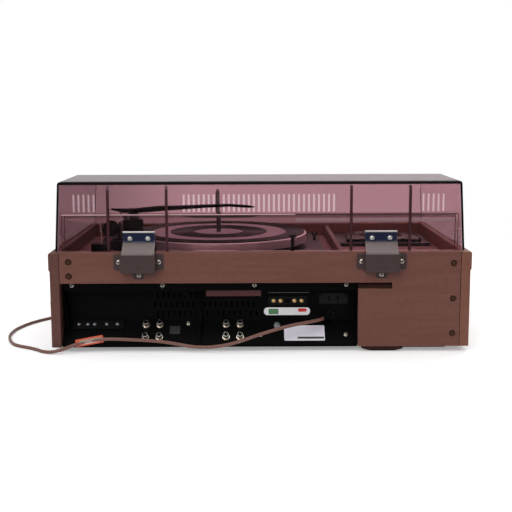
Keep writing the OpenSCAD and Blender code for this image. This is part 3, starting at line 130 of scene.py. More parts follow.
def skin(rings, loop=False):
    """Skins rings of equally many points one after another, and caps the first and the last."""
    rings = np.asarray(rings, float)
    count, around = rings.shape[:2]
    faces = grid(count, around, close_rows=loop, close_cols=True).tolist()
    if not loop:
        faces += [list(range(around))[::-1], list(range((count - 1) * around, count * around))]
    return rings.reshape(-1, 3), faces


def circle(steps):
    """Points round a unit circle."""
    a = np.linspace(0, 2 * np.pi, steps, endpoint=False)
    return np.stack([np.cos(a), np.sin(a)], -1)


def lathe(profile, steps=64, loop=False):
    """Turns (radius, height) points about Z: each one becomes a circle. A loop is a hollow ring."""
    profile = np.asarray(profile, float)
    height = np.broadcast_to(profile[:, None, 1:], (len(profile), steps, 1))
    rings = np.concatenate([profile[:, None, :1] * circle(steps), height], -1)
    return rings.reshape(-1, 3), grid(len(profile), steps, loop, True).tolist()


def sweep(path, section, scale=1.0):
    """Carries a section (across, up) along a path; scale may grow or shrink it at each point."""
    path, section = np.asarray(path, float), np.asarray(section, float)
    ahead = np.gradient(path, axis=0)
    ahead /= np.linalg.norm(ahead, axis=1, keepdims=True)
    across = np.cross(ahead, (0, 0, 1.0))
    across /= np.linalg.norm(across, axis=1, keepdims=True)
    up = np.cross(across, ahead)
    sized = section[None] * np.broadcast_to(scale, (len(path), 2))[:, None]
    return skin(path[:, None] + sized[..., :1] * across[:, None] + sized[..., 1:] * up[:, None])


def round_rect(w, h, r, steps=6):
    """A rectangle with round corners about its middle, anticlockwise: one quarter circle a corner."""
    a = np.linspace(0, np.pi / 2, steps + 1)
    arc = r * np.stack([np.cos(a), np.sin(a)], -1)
    turns = [np.array([[c, s], [-s, c]]) for c, s in QUARTERS]
    middles = [(i * (w / 2 - r), j * (h / 2 - r)) for i, j in ((1, 1), (-1, 1), (-1, -1), (1, -1))]
    return np.concatenate([arc @ turn + middle for turn, middle in zip(turns, middles)])


def stacked(outlines, heights):
    """Flat outlines at given heights, as rings for skin()."""
    return [np.column_stack([o, np.full(len(o), z)]) for o, z in zip(outlines, heights)]


def slab(outline, low, high):
    """A flat outline made solid between two heights."""
    return skin(stacked([outline, outline], [low, high]))


def lofted(outlines, places):
    """Outlines stood up across X at places along it, and skinned."""
    return skin([np.column_stack([np.full(len(o), x), o]) for o, x in zip(outlines, places)])


def grooved(radius, depth, start, pitch, count):
    """Profile points of a grooved rim: every other one lies deeper."""
    return [(radius - depth * (i % 2), start + pitch * i) for i in range(count)]


def plate(w, h, t, r, ease=0.0):
    """A plate with round corners, from z = 0 to t, whose upper edge is eased over a small distance."""
    full, small = round_rect(w, h, r), round_rect(w - 2 * ease, h - 2 * ease, max(r - ease, r * 0.3))
    return skin(stacked([full, full, small], [0, t - ease, t]))


def joined(*parts):
    """Several (points, faces) as one mesh."""
    starts = np.cumsum([0] + [len(points) for points, _ in parts])
    faces = [[i + int(s) for i in face] for (_, fs), s in zip(parts, starts) for face in fs]
    return np.concatenate([points for points, _ in parts]), faces


def moved(shape, offset):
    """A shape with all its points moved."""
    return shape[0] + np.asarray(offset, float), shape[1]


def laid(shape, order):
    """A shape whose axes change places."""
    return shape[0][:, order], shape[1]


def seated(shape, origin, right, up):
    """Carries a shape drawn as (right, up, out) in millimetres onto a plane of the object."""
    right, up = np.asarray(right, float), np.asarray(up, float)
    axes = np.array([right, up, np.cross(right, up)])
    return np.asarray(origin, float) + shape[0] * MM @ axes, shape[1]


print("mesh tools: grid, skin, lathe, sweep, plate")

# %% [markdown]
# ## Places on the object
# Labels, sockets and screws lie on one of four planes: the upright faces at the back, the slope of
# the steel panel, the leaning control panel and the deck. Each has its own way of seating a shape.

# %% Places
DIAG = math.sqrt(0.5)
SLOPE_SUM = PANEL + CASE_LOW + 32 * MM
LEAN = math.atan(40 / 121)
PANEL_FOOT = (FRONT + 3 * MM, CASE_LOW + 16 * MM)


def on_rear(shape, x, z, y=PANEL):
    """Seats a shape on an upright face that looks backwards; x and z in millimetres."""
    return seated(shape, (x * MM, y, z * MM), (-1, 0, 0), (0, 0, 1))


def on_slope(shape, x, height):
    """Seats a shape on the panel's slope, at a height above the case's underside."""
    z = CASE_LOW + height * MM
    return seated(shape, (x * MM, SLOPE_SUM - z, z), (-1, 0, 0), (0, -DIAG, DIAG))


def on_fascia(shape, x, up, out=0.0):
    """Seats a shape on the leaning control panel, so far up the slope and out of it."""
    s, c = math.sin(LEAN), math.cos(LEAN)
    y = PANEL_FOOT[0] + (up * s - out * c) * MM
    z = PANEL_FOOT[1] + (up * c + out * s) * MM
    return seated(shape, (x * MM, y, z), (1, 0, 0), (0, s, c))


def on_deck(shape, x, y, z):
    """Seats a level shape at a place given in metres."""
    return seated(shape, (x, y, z), (1, 0, 0), (0, 1, 0))


print(f"the control panel leans back {math.degrees(LEAN):.1f} degrees")

# %% [markdown]
# ## Effects that many finishes share
# Colour mottling, a fine bump, rubbed edges, dust, wood figure, brushing and turned rings are each a
# shader node group. A group is built once and placed in each material with its own values.


# %% Shader tools
def fill(made, **values):
    """Fills a node's inputs, named (with _ for a blank) or numbered (i0, i1), or links values into them."""
    for key, value in values.items():
        numbered = key[0] == "i" and key[1:].isdigit()
        socket = made.inputs[int(key[1:]) if numbered else key.replace("_", " ")]
        value = getattr(value, "socket", value)
        if isinstance(value, bpy.types.NodeSocket):
            made.id_data.links.new(value, socket)
        else:
            socket.default_value = value
    return made


def node(tree, kind, settings=None, **values):
    """Adds a node; settings are its properties, and values go to its inputs."""
    made = tree.nodes.new("ShaderNode" + kind)
    for key, value in (settings or {}).items():
        setattr(made, key, value)
    return fill(made, **values)


class Value:
    """A number in a shader tree: arithmetic on it adds Math nodes."""

    def __init__(self, socket):
        self.socket = socket

    def maths(self, operation, *others):
        """One Math node on this number and up to two others."""
        inputs = {f"i{k}": v for k, v in enumerate((self, *others))}
        return Value(node(self.socket.id_data, "Math", {"operation": operation}, **inputs).outputs[0])

    def clamped(self):
        """The same number, kept between 0 and 1."""
        self.socket.node.use_clamp = True
        return self


for symbol, operation in (("add", "ADD"), ("sub", "SUBTRACT"), ("mul", "MULTIPLY"), ("truediv", "DIVIDE"),
                          ("gt", "GREATER_THAN"), ("lt", "LESS_THAN"), ("abs", "ABSOLUTE")):
    setattr(Value, f"__{symbol}__", partialmethod(Value.maths, operation))


def vector_maths(tree, operation, a, b=(0, 0, 0)):
    """One Vector Math node: a vector, or a number for a product or a length."""
    made = node(tree, "VectorMath", {"operation": operation}, i0=a, i1=b).outputs
    return Value(made["Value"]) if operation in ("DOT_PRODUCT", "LENGTH") else made["Vector"]


def map_range(tree, value, low, high):
    """0 at low, 1 at high, and a straight line between them."""
    return Value(node(tree, "MapRange", Value=value, i1=low, i2=high).outputs["Result"])


def blend_colours(tree, factor, a, b, mode="MIX"):
    """One Mix node's colour."""
    return node(tree, "Mix", {"data_type": "RGBA", "blend_type": mode}, i0=factor, i6=a, i7=b).outputs[2]


def place(tree):
    """The Object coordinates."""
    return node(tree, "TexCoord").outputs["Object"]


def axes(tree, vector):
    """A vector's three numbers."""
    return [Value(part) for part in node(tree, "SeparateXYZ", Vector=vector).outputs]


def object_noise(tree, scale, detail=3.0, stretch=(1, 1, 1)):
    """Noise over Object coordinates, longer along the axes whose stretch is small."""
    mapped = node(tree, "Mapping", Vector=place(tree), Scale=stretch).outputs["Vector"]
    return Value(node(tree, "TexNoise", Vector=mapped, Scale=scale, Detail=detail).outputs["Fac"])


def bump(tree, height):
    """The normal of a height in metres."""
    return node(tree, "Bump", Strength=1.0, Distance=1.0, Height=height).outputs["Normal"]


print("shader tools: fill, node, Value")

# %% Shader groups
GROUPS = {}


def shader_group(inputs, outputs):
    """Makes a node group of a function, which takes the tree and its inputs and returns its outputs."""
    def build(work):
        group = bpy.data.node_groups.new(work.__name__, "ShaderNodeTree")
        for kind, label, value in inputs:
            socket = group.interface.new_socket(label, in_out="INPUT", socket_type="NodeSocket" + kind)
            socket.default_value = value
        for kind, label in outputs:
            group.interface.new_socket(label, in_out="OUTPUT", socket_type="NodeSocket" + kind)
        given = group.nodes.new("NodeGroupInput").outputs
        results = work(group, *[Value(given[label]) for _, label, _ in inputs])
        fill(group.nodes.new("NodeGroupOutput"), **{f"i{k}": v for k, v in enumerate(results)})
        GROUPS[work.__name__] = group
        return work
    return build


@shader_group([("Color", "Color", (1, 1, 1, 1)), ("Float", "Scale", 60.0), ("Float", "Spread", 0.1)],
              [("Color", "Color"), ("Float", "Mask")])
def mottle(tree, colour, scale, spread):
    """Colour times 1 plus Spread times (noise minus a half), doubled."""
    noise = object_noise(tree, scale, 5.0)
    factor = (noise - 0.5) * 2.0 * spread + 1.0
    grey = node(tree, "CombineXYZ", X=factor, Y=factor, Z=factor).outputs[0]
    return blend_colours(tree, 1.0, colour, grey, "MULTIPLY"), noise


@shader_group([("Float", "Scale", 900.0), ("Float", "Height", 0.00005)], [("Vector", "Normal")])
def fine_bump(tree, scale, height):
    """A normal from fine noise, with its height in metres."""
    return (bump(tree, object_noise(tree, scale, 2.0) * height),)


@shader_group([("Float", "Radius", 0.0008), ("Float", "Amount", 1.0)], [("Float", "Mask")])
def rubbed_edge(tree, radius, amount):
    """A mask that is 1 on rubbed edges: where the rounded normal turns away from the true one."""
    rounded = node(tree, "Bevel", {"samples": 4}, Radius=radius).outputs[0]
    same = vector_maths(tree, "DOT_PRODUCT", rounded, node(tree, "NewGeometry").outputs["True Normal"])
    edge = ((same * -1.0 + 1.0) * 5.0).clamped()
    return ((edge * (object_noise(tree, 90.0, 4.0) * 1.5) * amount).clamped(),)


@shader_group([("Float", "Amount", 0.3)], [("Float", "Mask")])
def dust(tree, amount):
    """A mask for dust that lies on faces that look up, thin and patchy."""
    up = axes(tree, node(tree, "NewGeometry").outputs["Normal"])[2]
    lying = ((up - 0.4) * 1.6).clamped()
    return ((lying * object_noise(tree, 35.0, 6.0) * amount).clamped(),)


@shader_group([("Color", "Light", (1, 1, 1, 1)), ("Color", "Dark", (0, 0, 0, 1)),
               ("Vector", "Stretch", (1, 12, 12))],
              [("Color", "Color"), ("Float", "Pores")])
def wood_figure(tree, light, dark, stretch):
    """Printed wood figure: long noise streaks with finer pores, as a colour and a mask."""
    mapped = vector_maths(tree, "MULTIPLY", place(tree), stretch)
    streak = node(tree, "TexNoise", Vector=mapped, Scale=9.0, Detail=8.0, Distortion=0.6).outputs["Fac"]
    pores = Value(node(tree, "TexNoise", Vector=mapped, Scale=70.0, Detail=3.0).outputs["Fac"])
    deep = ((pores - 0.52) * 3.0).clamped()
    figure = (map_range(tree, streak, 0.35, 0.68) * 0.32).maths("MAXIMUM", deep * 0.55)
    return blend_colours(tree, figure, light, dark), deep


@shader_group([("Float", "Height", 0.00001)], [("Float", "Mask"), ("Vector", "Normal")])
def brushed(tree, height):
    """Fine scratches along X: noise that is very long that way, as a mask and a normal."""
    scratches = object_noise(tree, 220.0, 4.0, (0.02, 1, 1))
    return scratches, bump(tree, scratches * height)


@shader_group([("Vector", "Centre", (0, 0, 0)), ("Float", "Pitch", 0.0006), ("Float", "Height", 0.00001)],
              [("Float", "Radius"), ("Vector", "Normal")])
def turned(tree, centre, pitch, height):
    """Rings about a centre in the XY plane: the distance from it, and a normal of fine turning marks."""
    off = vector_maths(tree, "SUBTRACT", place(tree), centre)
    radius = vector_maths(tree, "LENGTH", vector_maths(tree, "MULTIPLY", off, (1, 1, 0)))
    return radius, bump(tree, (radius / pitch * (2 * math.pi)).maths("SINE") * height)


print("shader groups:", ", ".join(GROUPS))

# %% [markdown]
# ## A plain way to build a finish
# Every finish is a Principled shader: a colour that is mottled, may be rubbed at edges and dusty on
# top, a roughness that wanders a little, and a fine bump. Special finishes add to this.


# %% Finishes in general
FINISHES = {}
ROUGH_SWING = 0.16
DUST_TONE = (150, 140, 132)


def srgb(r, g, b):
    """A colour as read from a picture, 0 to 255, turned into the linear values that shaders use."""
    c = np.array([r, g, b]) / 255
    linear = np.where(c <= 0.04045, c / 12.92, ((c + 0.055) / 1.055) ** 2.4)
    return (*[float(v) for v in linear], 1.0)


def put_group(tree, name, **values):
    """Places a shared effect in a material: its outputs."""
    return node(tree, "Group", {"node_tree": GROUPS[name]}, **values).outputs


def new_material(name):
    """A material with a Principled shader, kept under its name: (tree, shader)."""
    material = bpy.data.materials.new(name)
    material.use_nodes = True
    FINISHES[name] = material
    return material.node_tree, material.node_tree.nodes["Principled BSDF"]


def finish(name, colour, rough, metallic=0.0, spread=0.10, spots=60.0, grain=900.0, height=0.00004,
           rubbed=0.0, bare=(150, 148, 145), dust=0.0, coat=0.0, specular=0.5):
    """An opaque finish: (tree, shader). The colour may be a function that gives a socket from the tree."""
    tree, shader = new_material(name)
    start = colour(tree) if callable(colour) else srgb(*colour)
    mottled = put_group(tree, "mottle", Color=start, Scale=spots, Spread=spread)
    result = mottled["Color"]
    roughness = Value(mottled["Mask"]) * ROUGH_SWING + (rough - ROUGH_SWING / 2)
    if rubbed:
        edge = put_group(tree, "rubbed_edge", Amount=rubbed)["Mask"]
        result = blend_colours(tree, edge, result, srgb(*bare))
    if dust:
        lying = Value(put_group(tree, "dust", Amount=dust)["Mask"])
        result = blend_colours(tree, lying, result, srgb(*DUST_TONE))
        roughness = (lying * 0.4 + roughness).clamped()
    normal = put_group(tree, "fine_bump", Scale=grain, Height=height)["Normal"]
    fill(shader, Base_Color=result, Roughness=roughness, Normal=normal, Metallic=metallic,
         Specular_IOR_Level=specular)
    if coat:
        fill(shader, Coat_Weight=coat, Coat_Roughness=0.08)
    return tree, shader


print("a finish is a Principled shader with shared effects")

# %% [markdown]
# ## Wood-look vinyl
# The case is board wrapped in a brown vinyl film printed with a faint walnut figure. The film is
# satin and reddish. The figure runs along the long boards, and from front to back on the side
# panels, so the same shader is made with another stretch. The side panels' copies differ in tone only
# as painted light and shade: the left one lighter, the right one darker.


# %% Vinyl
def vinyl(name, stretch, light=(113, 71, 61), dark=(84, 50, 42)):
    """Printed walnut figure under a satin film with tiny pores and rubbed edges."""
    def figure(tree):
        values = dict(Light=srgb(*light), Dark=srgb(*dark), Stretch=stretch)
        return put_group(tree, "wood_figure", **values)["Color"]
    finish(name, figure, 0.50, spread=0.16, spots=150, grain=1100, height=0.00007, rubbed=0.7,
           bare=(166, 120, 98), dust=0.05, specular=0.3)


vinyl("walnut_vinyl", (1.0, 14.0, 14.0))
# The two side tones are painted light and shade: a lit copy and a shaded copy of one film.
vinyl("walnut_vinyl_left", (14.0, 1.0, 14.0), (124, 79, 64), (96, 58, 47))
vinyl("walnut_vinyl_right", (14.0, 1.0, 14.0), (98, 61, 53), (70, 42, 36))
print("vinyl in two directions and three tones")

# %% [markdown]
# ## Plain finishes
# Painted steel, moulded plastic, rubber, board, paper and plated screws differ only in their values:
# a colour, a roughness, and whatever isn't as usual.

# %% Plain finishes
PLAIN = {
    "board": ((150, 124, 94), 0.85, dict(spread=0.35, spots=420, height=0.0002)),
    "batten": ((176, 146, 108), 0.7, dict(spread=0.2, spots=80)),
    "deck_board": ((126, 90, 86), 0.6, dict(spread=0.12, dust=0.15, specular=0.25)),
    "foot_rubber": ((30, 28, 28), 0.8, dict(spread=0.15, dust=0.2)),
    "screw_nickel": ((206, 198, 186), 0.26, dict(metallic=1.0, spread=0.12, spots=300)),
    # painted shade: brass screw heads darkened as if deep in their sunk holes
    "brass_in_painted_shade": ((74, 48, 28), 0.45, dict(metallic=0.5, spread=0.3, spots=300)),
    "wood_shadow": ((52, 30, 26), 0.6, dict(spread=0.2, specular=0.1)),
    "panel_steel": ((4, 4, 5), 0.45, dict(spread=0.3, spots=45, grain=700, height=0.00002, rubbed=0.1,
                                          bare=(30, 28, 30), specular=0.05)),
    "socket_plastic": ((13, 12, 12), 0.38, dict(specular=0.15)),
    "hinge_brown": ((66, 50, 50), 0.42, dict(spots=120, grain=1300, height=0.00005, rubbed=0.6,
                                             bare=(116, 98, 92), dust=0.06, specular=0.3)),
    "cord_brown": ((118, 80, 69), 0.34, dict(spots=110, grain=700)),
    "plug_brown": ((112, 74, 62), 0.42, dict(spread=0.08)),
    "core_steel": ((84, 84, 88), 0.4, dict(metallic=0.6, spread=0.15)),
    "circuit": ((58, 88, 52), 0.45, dict(spread=0.25, spots=500)),
    "sink_black": ((34, 34, 37), 0.42, dict(metallic=0.5)),
    "pot_steel": ((150, 152, 156), 0.34, dict(metallic=1.0, spread=0.2)),
    "scale_black": ((15, 17, 17), 0.35),
    "pointer_red": ((206, 44, 26), 0.3),
    "lamp_red": ((200, 30, 24), 0.2, dict(spread=0.03, coat=0.6)),
    "drum_plastic": ((208, 200, 176), 0.45),
    "button_red": ((164, 40, 30), 0.3, dict(coat=0.3, rubbed=0.3, bare=(190, 90, 80))),
    "button_ivory": ((212, 208, 196), 0.32, dict(coat=0.3, rubbed=0.3, bare=(180, 172, 150))),
    "changer_black": ((15, 13, 13), 0.42, dict(spread=0.2, spots=700, grain=1400, height=0.00012, rubbed=0.4,
                                               bare=(90, 86, 84), dust=0.1, specular=0.3)),
    "motor_steel": ((140, 140, 144), 0.35, dict(metallic=1.0)),
    "idler_rubber": ((36, 33, 31), 0.7),
    "arm_black": ((9, 8, 9), 0.48, dict(specular=0.06)),
    "tape_black": ((26, 25, 27), 0.45, dict(grain=1600, height=0.00007, rubbed=0.2, bare=(60, 60, 62),
                                            dust=0.08, specular=0.3)),
    "lid_smoke": ((28, 27, 29), 0.2, dict(coat=0.2, dust=0.08, specular=0.3)),
    "key_silver": ((184, 182, 178), 0.3, dict(metallic=0.7, rubbed=0.3, bare=(120, 118, 114))),
    "knob_silver": ((196, 193, 186), 0.24, dict(metallic=1.0, spread=0.05, grain=400, height=0.00002)),
    "spindle_ivory": ((214, 212, 204), 0.4),
    "tag_paper": ((226, 200, 190), 0.5, dict(spread=0.06, spots=200)),
    # Opaque finishes for the cover: the dark ones paint the shade of the sheet seen edge on, the glint a
    # highlight.
    "smoke_edge_on_shade": ((14, 9, 12), 0.5, dict(height=0.00001, specular=0.04)),
    "smoke_line_shade": ((66, 37, 41), 0.25, dict(height=0.00001, specular=0.3)),
    "smoke_glint": ((204, 164, 168), 0.3, dict(spread=0.2, height=0.00001)),
}
PAPERS = {
    "label_white": (232, 230, 234), "label_green": (74, 128, 82), "label_red": (206, 44, 42),
    "label_lilac": (228, 223, 234), "label_dull_red": (96, 36, 36), "label_faint": (26, 24, 26),
    "label_orange": (204, 84, 58), "label_grey": (96, 92, 98), "knob_brown": (120, 84, 84),
    # The dark print also paints shade in the screws' crosses.
    "print_ivory": (220, 214, 196), "dark_print_and_shade": (52, 50, 48)}
for slot, (colour, rough, *unusual) in PLAIN.items():
    finish(slot, colour, rough, **dict(*unusual))
for name, tone in PAPERS.items():
    finish(name, tone, 0.45, spread=0.07, spots=240, grain=1200, height=0.00003)
print("plain finishes:", len(PLAIN), "papers:", len(PAPERS))

# %% [markdown]
# ## Bright metals
# The control panel and the tonearm are brushed along X, and the platter and its spindle are turned.
# Brushing and turning are bumps finer than a hair, so they show mostly in how highlights spread.
# The hinge straps and two black mouldings take a second metal where something stands out of them.


# %% Metals
def brushed_metal(name, colour, rough, swing=0.12):
    """Brushed aluminium: scratches along X that vary the roughness and the normal."""
    tree, shader = finish(name, colour, rough, metallic=1.0, spread=0.06, spots=14)
    marks = put_group(tree, "brushed", Height=0.000002)
    fill(shader, Normal=marks["Normal"], Roughness=Value(marks["Mask"]) * swing + (rough - swing / 2))


def turned_metal(name, colour, rough, centre, pitch=0.0007):
    """Turned metal: fine rings about an upright axis."""
    tree, shader = finish(name, colour, rough, metallic=1.0, spread=0.07, spots=30)
    marks = put_group(tree, "turned", Centre=(*centre, 0.0), Pitch=pitch, Height=0.000008)
    fill(shader, Normal=marks["Normal"])


STRAP_LEAF, STRAP_LIP = RIM + 13.6 * MM, RIM + 27.0 * MM
STRAP_SCREW, STRAP_SCREW_R = (12.7 * MM, RIM + 18.6 * MM), 3.1 * MM


def strap_colour_and_reflection(tree):
    """A dark bluish upright leaf, whose blue is a painted reflection in the chrome, with bright screws and
    lip, and a dull grey slope.
    """
    x, _, z = axes(tree, place(tree))
    leaf = z > STRAP_LEAF
    across = abs(abs(x) - HINGE_X * MM) - STRAP_SCREW[0]
    upward = z - STRAP_SCREW[1]
    proud = (across * across + upward * upward).maths("SQRT") < STRAP_SCREW_R
    bright = leaf * (z > STRAP_LIP).maths("MAXIMUM", proud)
    # painted reflection: the chrome leaf's dark blue
    leaf_reflection = blend_colours(tree, leaf, srgb(104, 95, 94), srgb(40, 46, 74))
    return blend_colours(tree, bright, leaf_reflection, srgb(214, 212, 208))


def screws_in_plastic(name, metal, base, toward, height):
    """A black moulding with metal screws in it: what stands out of its face is metal."""
    def proud(tree):
        return vector_maths(tree, "DOT_PRODUCT", place(tree), toward) > height

    def by_depth(tree):
        return blend_colours(tree, proud(tree), srgb(*base), srgb(*metal))
    tree, shader = finish(name, by_depth, 0.34, spread=0.15, spots=260, specular=0.12)
    fill(shader, Metallic=proud(tree))


screws_in_plastic("phenolic", (128, 122, 132), (9, 8, 9), (0, DIAG, DIAG), SLOPE_SUM * DIAG + 2.1 * MM)
screws_in_plastic("screw_brass", (224, 188, 128), (12, 11, 12), (0, 1, 0), PANEL + 1.7 * MM)
finish("hinge_chrome", strap_colour_and_reflection, 0.34, metallic=0.75, spots=90, rubbed=0.5, bare=(214, 210, 206))
brushed_metal("fascia_silver", (186, 182, 172), 0.32)
brushed_metal("arm_silver", (150, 148, 146), 0.28)
turned_metal("platter_metal", (232, 224, 226), 0.42, PLATTER)
turned_metal("spindle_chrome", (92, 88, 88), 0.3, PLATTER)
print("metals: fascia, arm, platter, spindle, hinge straps")

# %% [markdown]
# ## Smoke-tinted acrylic
# The cover is a few millimetres of clear brown-pink plastic. Glass in a path tracer blocks lamps, so
# light rays from lamps pass through a plain, greyer tint instead, and what stands inside is lit. Where
# the sheet is seen along its edge, it is nearly black, so its corners and ribs get opaque finishes of
# their own in which that shade is painted. A darker band at its foot is painted shade, a pale band
# and a glint are painted highlights, and its tint is painted darker towards +X.


# %% Clear plastics
SHADE_FROM, SHADE_TO = 0.12, 0.27


def clear_plastic(name, tint, rough, ior=1.49, clear=1.0, shade=0.0):
    """Tinted glass for the eye, a greyer tint for lamps; clear below 1 is milky, shade paints shade on the +X
    end.
    """
    tree, shader = new_material(name)
    haze = object_noise(tree, 18.0, 5.0) * rough
    fill(shader, Base_Color=(*tint, 1.0), Roughness=haze, Transmission_Weight=clear, IOR=ior)
    if shade:
        fade = map_range(tree, axes(tree, place(tree))[0], SHADE_FROM, SHADE_TO)
        fill(shader, Base_Color=blend_colours(tree, fade, (*tint, 1.0), (*[v * shade for v in tint], 1.0)))
    through = node(tree, "BsdfTransparent", Color=(*[(v + 2 * tint[1]) / 3 for v in tint], 1.0))
    lamp_ray = node(tree, "LightPath").outputs["Is Shadow Ray"]
    both = node(tree, "MixShader", i0=lamp_ray, i1=shader.outputs["BSDF"], i2=through.outputs["BSDF"])
    fill(tree.nodes["Material Output"], Surface=both.outputs[0])


# shade=0.72 is painted shade: the cover's tint darkens towards its +X end.
clear_plastic("smoke_acrylic", (0.63, 0.45, 0.485), 0.004, ior=1.25, shade=0.72)
# Painted shade: a darker band under the seat line and along the front wall's foot.
clear_plastic("smoke_painted_shade", (0.20, 0.11, 0.12), 0.004, ior=1.25, clear=0.9)
# Painted highlight: a pale milky band low on the cover's rear wall.
clear_plastic("smoke_painted_highlight", (0.34, 0.235, 0.25), 0.3, clear=0.5)
clear_plastic("dial_clear", (0.86, 0.90, 0.90), 0.01)
print("clear plastics: smoke cover and dial window")

# %% [markdown]
# ## The turntable mat
# The mat is one rubber disc whose zones differ: black ribbed rings carry the record, and smoother
# grey rings between them catch the light.

# %% Mat rubber
MAT_RINGS = (39, 77, 107)


def mat_zones(tree):
    """The colour steps with the distance from the spindle."""
    radius = Value(put_group(tree, "turned", Centre=(*PLATTER, 0.0))["Radius"])
    inner, band, outer = (radius > edge * MM for edge in MAT_RINGS)
    dark = (inner - band + outer).clamped()
    return blend_colours(tree, dark, srgb(150, 136, 140), srgb(14, 11, 12))


finish("mat_rubber", mat_zones, 0.5, spread=0.08, grain=1100, specular=0.12)
print("mat rings at", MAT_RINGS, "mm; finishes:", len(FINISHES))

# %% [markdown]
# ## Give every part its finish
# The record says which finish each part has. The side panels and the divider bar get the vinyl that
# runs their way, the left panel in the lighter copy (painted light), the right one and the divider in
# the darker copy (painted shade).

# %% Finishes onto the parts
for part in frame["record"]["subparts"]:
    mesh = frame["nodes"][part["node"]].data
    mesh.materials.clear()
    mesh.materials.append(FINISHES[part["material_slot"]])
for part, look in (("side_panel_left", "left"), ("side_panel_right", "right"), ("divider_bar", "right")):
    frame["nodes"][part].data.materials[0] = FINISHES["walnut_vinyl_" + look]


# %% Making a piece
def make_piece(name, shape, slot, look=None, body="case", sharp=35, stands_for=()):
    """One object from (points, faces): closed, facing outwards, smooth up to an angle, on its body."""
    mesh = bpy.data.meshes.new(name)
    mesh.from_pydata(np.asarray(shape[0]).tolist(), [], shape[1])
    work = bmesh.new()
    work.from_mesh(mesh)
    bmesh.ops.remove_doubles(work, verts=work.verts, dist=1e-6)
    bmesh.ops.recalc_face_normals(work, faces=work.faces)
    work.to_mesh(mesh)
    work.free()
    mesh.polygons.foreach_set("use_smooth", np.ones(len(mesh.polygons), bool))
    mesh.set_sharp_from_angle(angle=math.radians(sharp))
    mesh.materials.append(FINISHES[look or slot])
    made = add_object(name, mesh)
    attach(made, body)
    if stands_for:
        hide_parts(*stands_for)
    return made


print("a piece rides on its body and takes a finish by name")

# %% [markdown]
# ## The mains cord
# A flat twin lead leaves the sunk panel through a strain relief, hangs in one long sag across the
# recess, climbs out past the side panel and runs along the floor into a neat coil in front, where
# the camera doesn't see it. The route's points are listed; the coil is a formula.

# %% The cord's route
CORD_D = 5.0
EXIT = (-102.0, PANEL / MM, 47.0)
ROUTE = [
    (-90.5, -17, 45), (-78, -9, 43.6), (-61, -1, 42), (-42, 4, 39.4), (-21, 7, 34.4),
    (3, 8, 27.2), (25, 8, 19.4), (46, 7, 13.2), (66, 5, 9.6), (82, 3.5, 8.6), (99, 2, 9.4),
    (118, 0, 12.2), (140, -1, 15.6), (162, -1, 17.6), (184, -1, 18.8), (205, -1, 19.8),
    (225, -1, 19.6), (244, 0, 17.5), (262, 3, 13.6), (273, 6, 10.4), (285, 8.5, 6.4),
    (298, 8, 3.6), (311, 1.5, 2.6), (323, -10, 2.6), (336, -21, 2.6), (350, -30, 2.6),
    (363, -42, 2.6), (374, -64, 2.6), (383, -97, 2.6), (384, -133, 2.6), (379, -158, 2.6),
    (371, -182, 2.6), (359, -204, 2.6), (345, -223, 2.6), (331, -245, 2.6), (319, -270, 2.6),
    (311, -300, 2.6), (308, -330, 2.6), (307.8, -352, 2.5), (307.8, -365, 2.5)]
COIL_MIDDLE = (341.0, REAR / MM - 373)
COIL_R, COIL_STEP, COIL_PITCH = 33.2, 5.6, 5.6
TURNS_IN, TURNS_UP, TURNS_OUT = 2.5, 0.5, 2.583
LEAN_IN = 1.6
END_STRAIGHT = 7.0


def smooth(points, per_span=8):
    """A Catmull-Rom curve: each span is a cubic that leaves a point towards its next neighbour's."""
    p = np.asarray(points, float)
    q = np.vstack([p[:1], p, p[-1:]])
    a, b, c, d = (q[i:len(q) - 3 + i, None] for i in range(4))
    t = np.linspace(0, 1, per_span, endpoint=False)[None, :, None]
    curve = 0.5 * (2 * b + (c - a) * t + (2 * a - 5 * b + 4 * c - d) * t**2 + (3 * b - a - 3 * c + d) * t**3)
    return np.vstack([curve.reshape(-1, 3), p[-1:]])


def coil(per_turn=48):
    """Spirals in on the floor, climbs a layer in half a turn, and spirals out again on top."""
    all_turns = TURNS_IN + TURNS_UP + TURNS_OUT
    n = np.linspace(0, all_turns, int(all_turns * per_turn))
    climb = np.clip((n - TURNS_IN) / TURNS_UP, 0, 1)
    inner = COIL_R - COIL_STEP * TURNS_IN
    outwards = inner + COIL_STEP * (n - TURNS_IN - TURNS_UP)
    upper = np.where(climb < 1, inner - LEAN_IN * np.sin(np.pi * climb), outwards)
    radius = np.where(climb <= 0, COIL_R - COIL_STEP * n, upper)
    height = CORD_D / 2 + COIL_PITCH * (1 - np.cos(np.pi * climb)) / 2
    a = np.pi + 2 * np.pi * n
    turns = np.stack([COIL_MIDDLE[0] + radius * np.cos(a), COIL_MIDDLE[1] + radius * np.sin(a), height], -1)
    ahead = np.array([-math.sin(a[-1]), math.cos(a[-1]), 0])
    return np.vstack([turns, turns[-1] + ahead * END_STRAIGHT * np.array([[0.5], [1.0]])]), ahead


free_run = [EXIT] + [(x, REAR_MM + out, z) for x, out, z in ROUTE]
coil_points, plug_ahead = coil()
cord_path = np.vstack([smooth(free_run), coil_points[1:]]) * MM
cord_length = float(np.linalg.norm(np.diff(cord_path, axis=0), axis=1).sum())
print(f"cord {cord_length:.3f} m along {len(cord_path)} points")


# %% The cord, its strain relief, tag, plug and tie
SECTION_FLAT, DIP_DEEP, DIP_WIDE = 0.45, 0.36, 0.8
SLEEVE_R, SLEEVE_TAPER, GROOVE_DEEP, GROOVE_WIDE, GROOVES = 5.0, 1.9, 0.55, 0.035, (0.3, 0.5, 0.7)
TAG_AT, TAG_DIP, TAG_TURN = (0.2445, REAR + 0.5 * MM, 0.0176), math.radians(9), math.radians(7)
BLADE_OUT, BLADE_APART, BLADE_THICK = 39, 6.35, 0.75
TIE_UP, TIE_WIDE, TIE_THICK = 5.9, 2.2, 0.5


